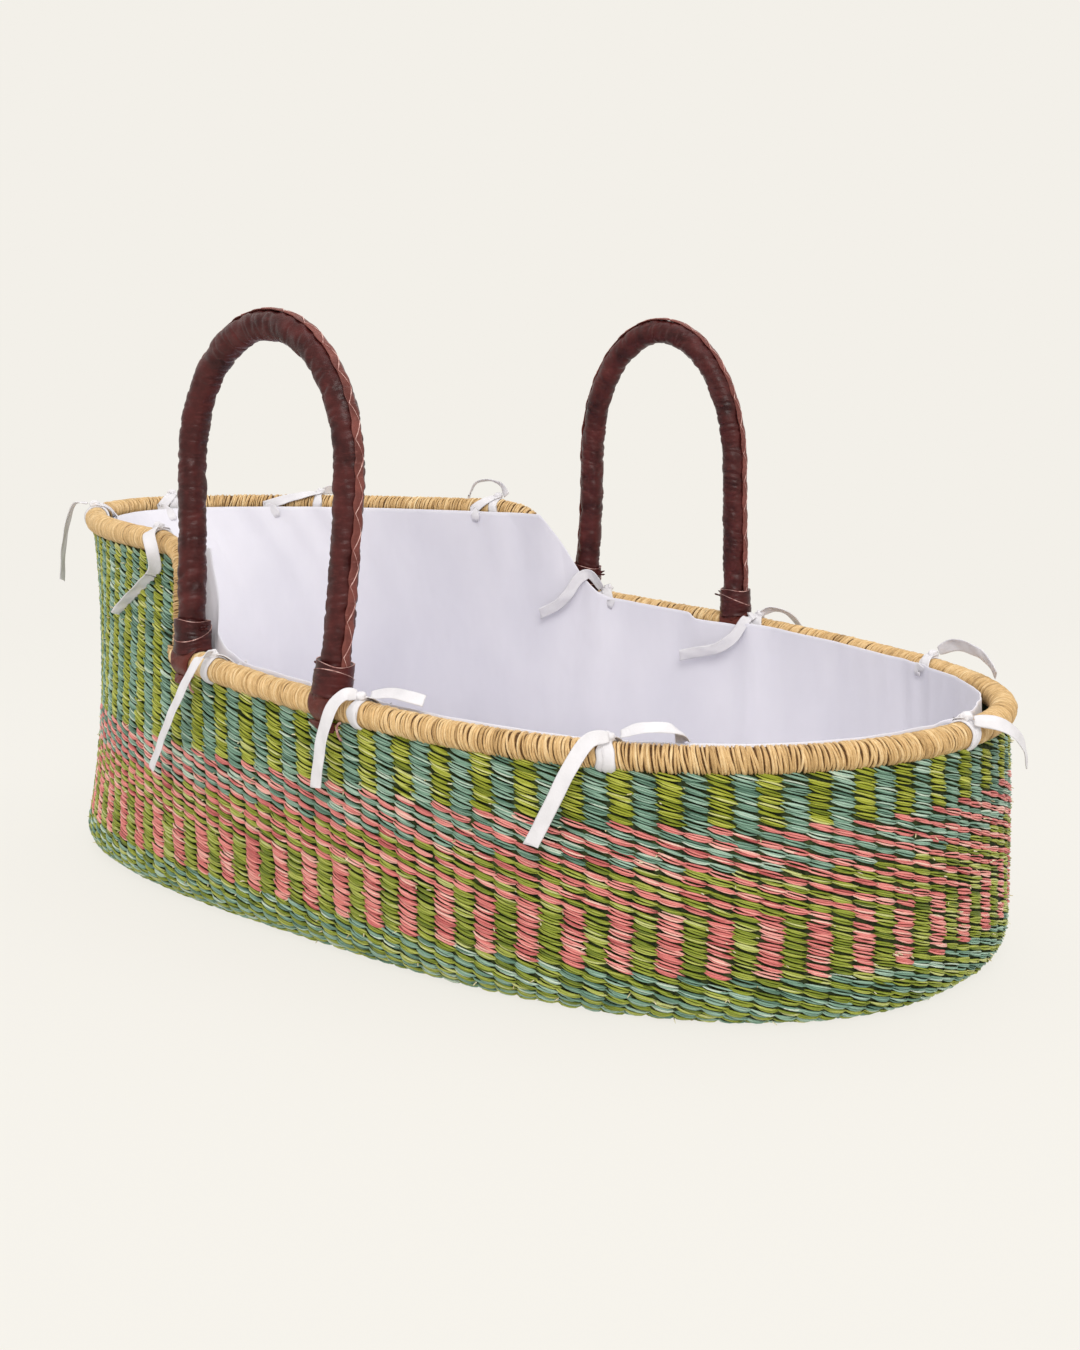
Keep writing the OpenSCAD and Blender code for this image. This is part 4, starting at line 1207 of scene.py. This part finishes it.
def mattress_plan(u, inset):
    """Outline of the mattress: a superellipse, longer towards the head."""
    e = 2 / MATTRESS_POWER
    c, s = np.cos(np.radians(u)), np.sin(np.radians(u))
    reach = np.where(c >= 0, MATTRESS_FOOT, MATTRESS_HEAD) - inset
    return np.stack([WIDEST_X + reach * spow(c, e), (MATTRESS_HALF_W - inset) * spow(s, e)], -1)


def slab(name, low, high, inset, bulge, material, node):
    """Padded slab with rounded edges, slightly crowned, with a piped seam when bulge is above zero."""
    around = np.linspace(-180, 180, 481)[:-1]
    rows = []
    radius = 9.0
    middle = (low + high) / 2
    for a in np.linspace(-90, 90, 34):
        ra = math.radians(a)
        z = middle + (high - low) / 2 * np.sign(a) * abs(math.sin(ra)) ** 0.8
        pull = radius * (1 - math.cos(ra) ** 0.55)
        pipe = bulge * 0.8 * math.exp(-(((abs(z - middle) - (high - low) * 0.36)) / 1.1) ** 2)
        ripple = bulge * 0.6 * lumps(around / 9, z / 14, 1)
        pts = mattress_plan(around, inset + pull - pipe + 0.8 - np.minimum(ripple, 0.7))
        rows.append(np.column_stack([pts, np.full(len(around), z)]))

    def cover(outer, z0, sign):
        out = []
        middle_xy = np.array([MIDDLE_X, 0.0])
        for share in np.linspace(1, 0.02, 40)[1:]:
            flat = middle_xy + (outer[:, :2] - middle_xy) * share
            dent = lumps(flat[:, 0] / 60, flat[:, 1] / 60, sign)
            out.append(np.column_stack([flat, z0 + sign * bulge * np.minimum(0.25, 0.3 * dent)]))
        return out

    give = 0.3 * (bulge > 0)
    bottom = cover(rows[0], low + give, -1)[::-1]
    top = cover(rows[-1], high - give, 1)
    grid = np.array(bottom + rows + top)
    faces = tube_faces(len(grid), len(around))
    piece = add_mesh(name, grid, faces, "mattress", material, [node])


# ---- Ties ------------------------------------------------------------------------------------
def knot(middle, ahead, side, up, seed):
    """A pulled-tight overhand knot: a lump of tape wound in slanting turns."""
    n, m = 20, 36
    v = np.linspace(0.04, np.pi - 0.04, n)[:, None]
    a = full_turn(m)[None]
    turn = np.abs(np.sin(1.5 * a + 2.2 * np.cos(v) + seed))
    cross = np.abs(np.sin(a - 3.1 * v + 2 * seed))
    r = 0.80 + 0.24 * turn * np.sin(v) + 0.16 * cross * np.sin(v) ** 2
    x, y, z = 4.6 * r * np.cos(v) + 0 * a, 3.9 * r * np.sin(v) * np.cos(a), 3.1 * r * np.sin(v) * np.sin(a)
    points = middle + x[..., None] * ahead + y[..., None] * side + z[..., None] * up
    return points.reshape(-1, 3), tube_faces(n, m)


# Degrees round the rim from a tie to where its tape leaves the liner.
LEADS = {172: 4.5, 143.5: 9.0, -153: -5.0, 118.5: 2.5, -118.5: -2.5, 105: -1.6, 87: -1.4, 54: -2.2, -1: 3.0}


def build_ties():
    """The loops round the rim, the knots on top of it, and the ends sewn to the liner."""
    parts = []
    for i, u in enumerate(TIE_STATIONS):
        centre = wall(u, float(rim_z(u)))
        ahead = unit(wall(u + 0.5, float(rim_z(u + 0.5))) - wall(u - 0.5, float(rim_z(u - 0.5))))
        out = outward(u, float(rim_z(u)))
        side = unit(out - ahead * (out @ ahead))
        up = unit(np.cross(side, ahead))
        up = up if up[2] > 0 else -up
        for shift, skew, r in ((-0.6, 1.3, RIM_R + 0.75), (0.9, -1.1, RIM_R + 1.25)):
            a = full_turn(64)
            radial = np.cos(a)[:, None] * up + np.sin(a)[:, None] * side
            line = centre + r * radial
            line = line + ahead * (shift + skew * np.sin(a + i)[:, None] + 0.5 * np.sin(3 * a + i)[:, None])
            wide = 4.2 - 1.6 * np.maximum(0, np.cos(a)) ** 3 + 0.3 * np.sin(5 * a + i)
            rows = []
            for x in (-1, -0.8, -0.4, 0, 0.4, 0.8, 1, 0.8, 0.4, 0, -0.4, -0.8):
                k = len(rows)
                rise = 0.34 * (1 if k < 7 else -1) * (0 if abs(x) == 1 else 1)
                curl = 0.5 * abs(x) ** 4 + 0.25 * math.cos(7 * x)
                rows.append(line + ahead * (x * wide)[:, None] + radial * (rise - curl))
            ring = np.stack(rows, 1)
            parts.append((ring.reshape(-1, 3), grid_faces(64, 12, close_n=True, close_m=True)))
        top = centre + up * (RIM_R + 2.6) + side * 1.6
        parts.append(knot(top, ahead, side, up, i))
        turn = u + LEADS.get(u, 1.2)
        hem = float(liner_top(np.array([turn]))[0])
        start = wall(turn, float(rim_z(turn)))
        reach = np.linspace(0, 1, 30)[1:-1, None]
        sweep = np.radians(100 - 88 * reach)
        over = np.cos(sweep) * up - np.sin(sweep) * side
        lead = (1 - reach) * start + reach * centre + (RIM_R + 2.1) * over
        sewn = wall(turn + 0.3, hem - 9, LINER_INSET + 2.0)
        lead = np.concatenate([[sewn], [wall(turn + 0.1, hem - 2, LINER_INSET + 2.2)], lead, [top]])
        flat = np.concatenate([[-side, -side], over, [up]])
        parts.append(ribbon(catmull(lead, 2), np.repeat(flat, 2, 0)[: 2 * len(lead) - 1], 4.4, 0.4))
    points, faces = gather(parts)
    add_mesh("tie_tapes", points, faces, material=tape, replaces=["tie_loops"])


WEAVE_ENDS = 620


def weave_ends():
    """Short pale ends of grass left poking out between the stitches."""
    parts = []
    count = WEAVE_ENDS
    s = rng.uniform(4, TOP_S - 12, count)
    k = rng.integers(0, STAKES, count) / STAKES
    f = k + rng.normal(0, 0.12 / STAKES, count)
    s = (np.floor(s / ROW) + rng.choice([0.0, 0.06, 0.94], count)) * ROW
    angle, z = skin.angle(s, f), profile(s)[1]
    hood = np.abs(angle) > DROP_HEAD + 1
    top = np.where(hood, drop_z(np.maximum(np.abs(angle), DROP_HEAD)), low_rim_z(angle))
    keep = (z < top - 12) & (np.abs(np.abs(angle) - DROP_FOOT) > 3)
    s, f = s[keep], f[keep]
    base = skin.place(s, f, np.full(len(s), -0.6))
    out = unit(skin.at(skin.normals, s, f))
    ahead = unit(skin.place(s, f + 0.001, np.zeros(len(s))) - base)
    for p, o, d in zip(base, out, ahead):
        aim = o * rng.uniform(0.7, 1.2) + d * rng.choice([-1, 1]) * rng.uniform(0.2, 1.1)
        aim = unit(aim + rng.normal(0, 0.25, 3))
        line = p + aim * np.linspace(0, rng.uniform(2.0, 3.8), 4)[:, None]
        parts.append(closed_tube(line, np.array([0.5, 0.48, 0.4, 0.25]) * rng.uniform(0.7, 1.1), 5, tuple(d)))
    points, faces = gather(parts)
    points[:, 2] = np.maximum(points[:, 2], 0.1)
    add_mesh("weave_ends", points, faces, material=cut_straw)


# ---- The CAD parts that stay in view ----------------------------------------------------------
def paint_node(node, material):
    """Give a shown CAD node one of the materials above."""
    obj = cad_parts[node]
    obj.data.materials.clear()
    obj.data.materials.append(material)


wall_core()
build_weave()
weave_ends()
rim_wrap("low_rim_strands", -DROP_FOOT, DROP_FOOT, low_rim_radius, "low_rim_wrap")
rim_wrap("hood_rim_strands", DROP_FOOT, 360 - DROP_FOOT, hood_radius, "hood_rim_wrap")
for handle in (Handle(-1), Handle(1)):
    handle_grip(handle)
    handle_lacing(handle)
    for foot in (-1, 1):
        handle_collar(handle, foot)
        handle_sleeve(handle, foot)
    thong_ends(handle)
    leather_tongues(handle)
sewn_loops()
build_ties()
build_liner()
build_liner_floor()
slab("mattress_pad", MATTRESS_Z + 2.5, MATTRESS_TOP - 1.5, 2.5, 0.0, foam, "mattress_foam")
slab("mattress_cloth", MATTRESS_Z, MATTRESS_TOP + 1.5, 0.0, 1.0, cotton, "mattress_cover")
paint_node("woven_base", base_weave)
# The rim cores get the same painted shade colour for the gaps between strands.
for core in ("low_rim_core", "hood_rim_core"):
    paint_node(core, straw_gap_shade)


# ---- Floor and light ---------------------------------------------------------------------------
def studio():
    """The paper floor that curves up far behind, the sky and four soft lamps."""
    view = bpy.context.scene.view_settings
    view.view_transform = "Standard"
    floor_mesh = bpy.data.meshes.new("floor")
    n = 96
    a = full_turn(n)
    rings = [(0.02, 0), (0.6, 0), (1.6, 0), (4, 0), (9, 0), (14, 0.4), (18, 3), (20, 9), (18, 15), (10, 20)]
    points = [(r * math.cos(x), r * math.sin(x), z) for r, z in rings for x in a]
    faces = [tuple(q) for q in grid_faces(len(rings), n, close_m=True)]
    floor_mesh.from_pydata(points, [], faces + [tuple(range(n))])
    floor = bpy.data.objects.new("floor", floor_mesh)
    bpy.context.scene.collection.objects.link(floor)
    floor_mesh.materials.append(paper)
    floor.visible_shadow = False
    world = bpy.data.worlds.new("studio")
    bpy.context.scene.world = world
    world.use_nodes = True
    back = world.node_tree.nodes["Background"]
    back.inputs[0].default_value = (0.93, 0.95, 1.0, 1)
    back.inputs[1].default_value = 0.52
    for name, where, size, power, tint in (
        ("key", (2.15, -1.95, 2.2), 1.8, 66, (1.0, 0.985, 0.96)),
        ("fill", (-2.4, -1.2, 1.5), 2.2, 6, (0.95, 0.97, 1.0)),
        ("top", (0.0, 0.3, 2.6), 2.0, 16, (1.0, 1.0, 1.0)),
        ("back", (-0.6, 2.6, 1.6), 2.0, 9, (1.0, 1.0, 1.0)),
    ):
        data = bpy.data.lights.new(name, "AREA")
        data.shape, data.size, data.energy, data.color = "DISK", size, power, tint
        lamp = bpy.data.objects.new(name, data)
        bpy.context.scene.collection.objects.link(lamp)
        lamp.location = where
        lamp.rotation_euler = (Vector(where) - Vector((0, 0, 0.15))).to_track_quat("Z", "Y").to_euler()


studio()
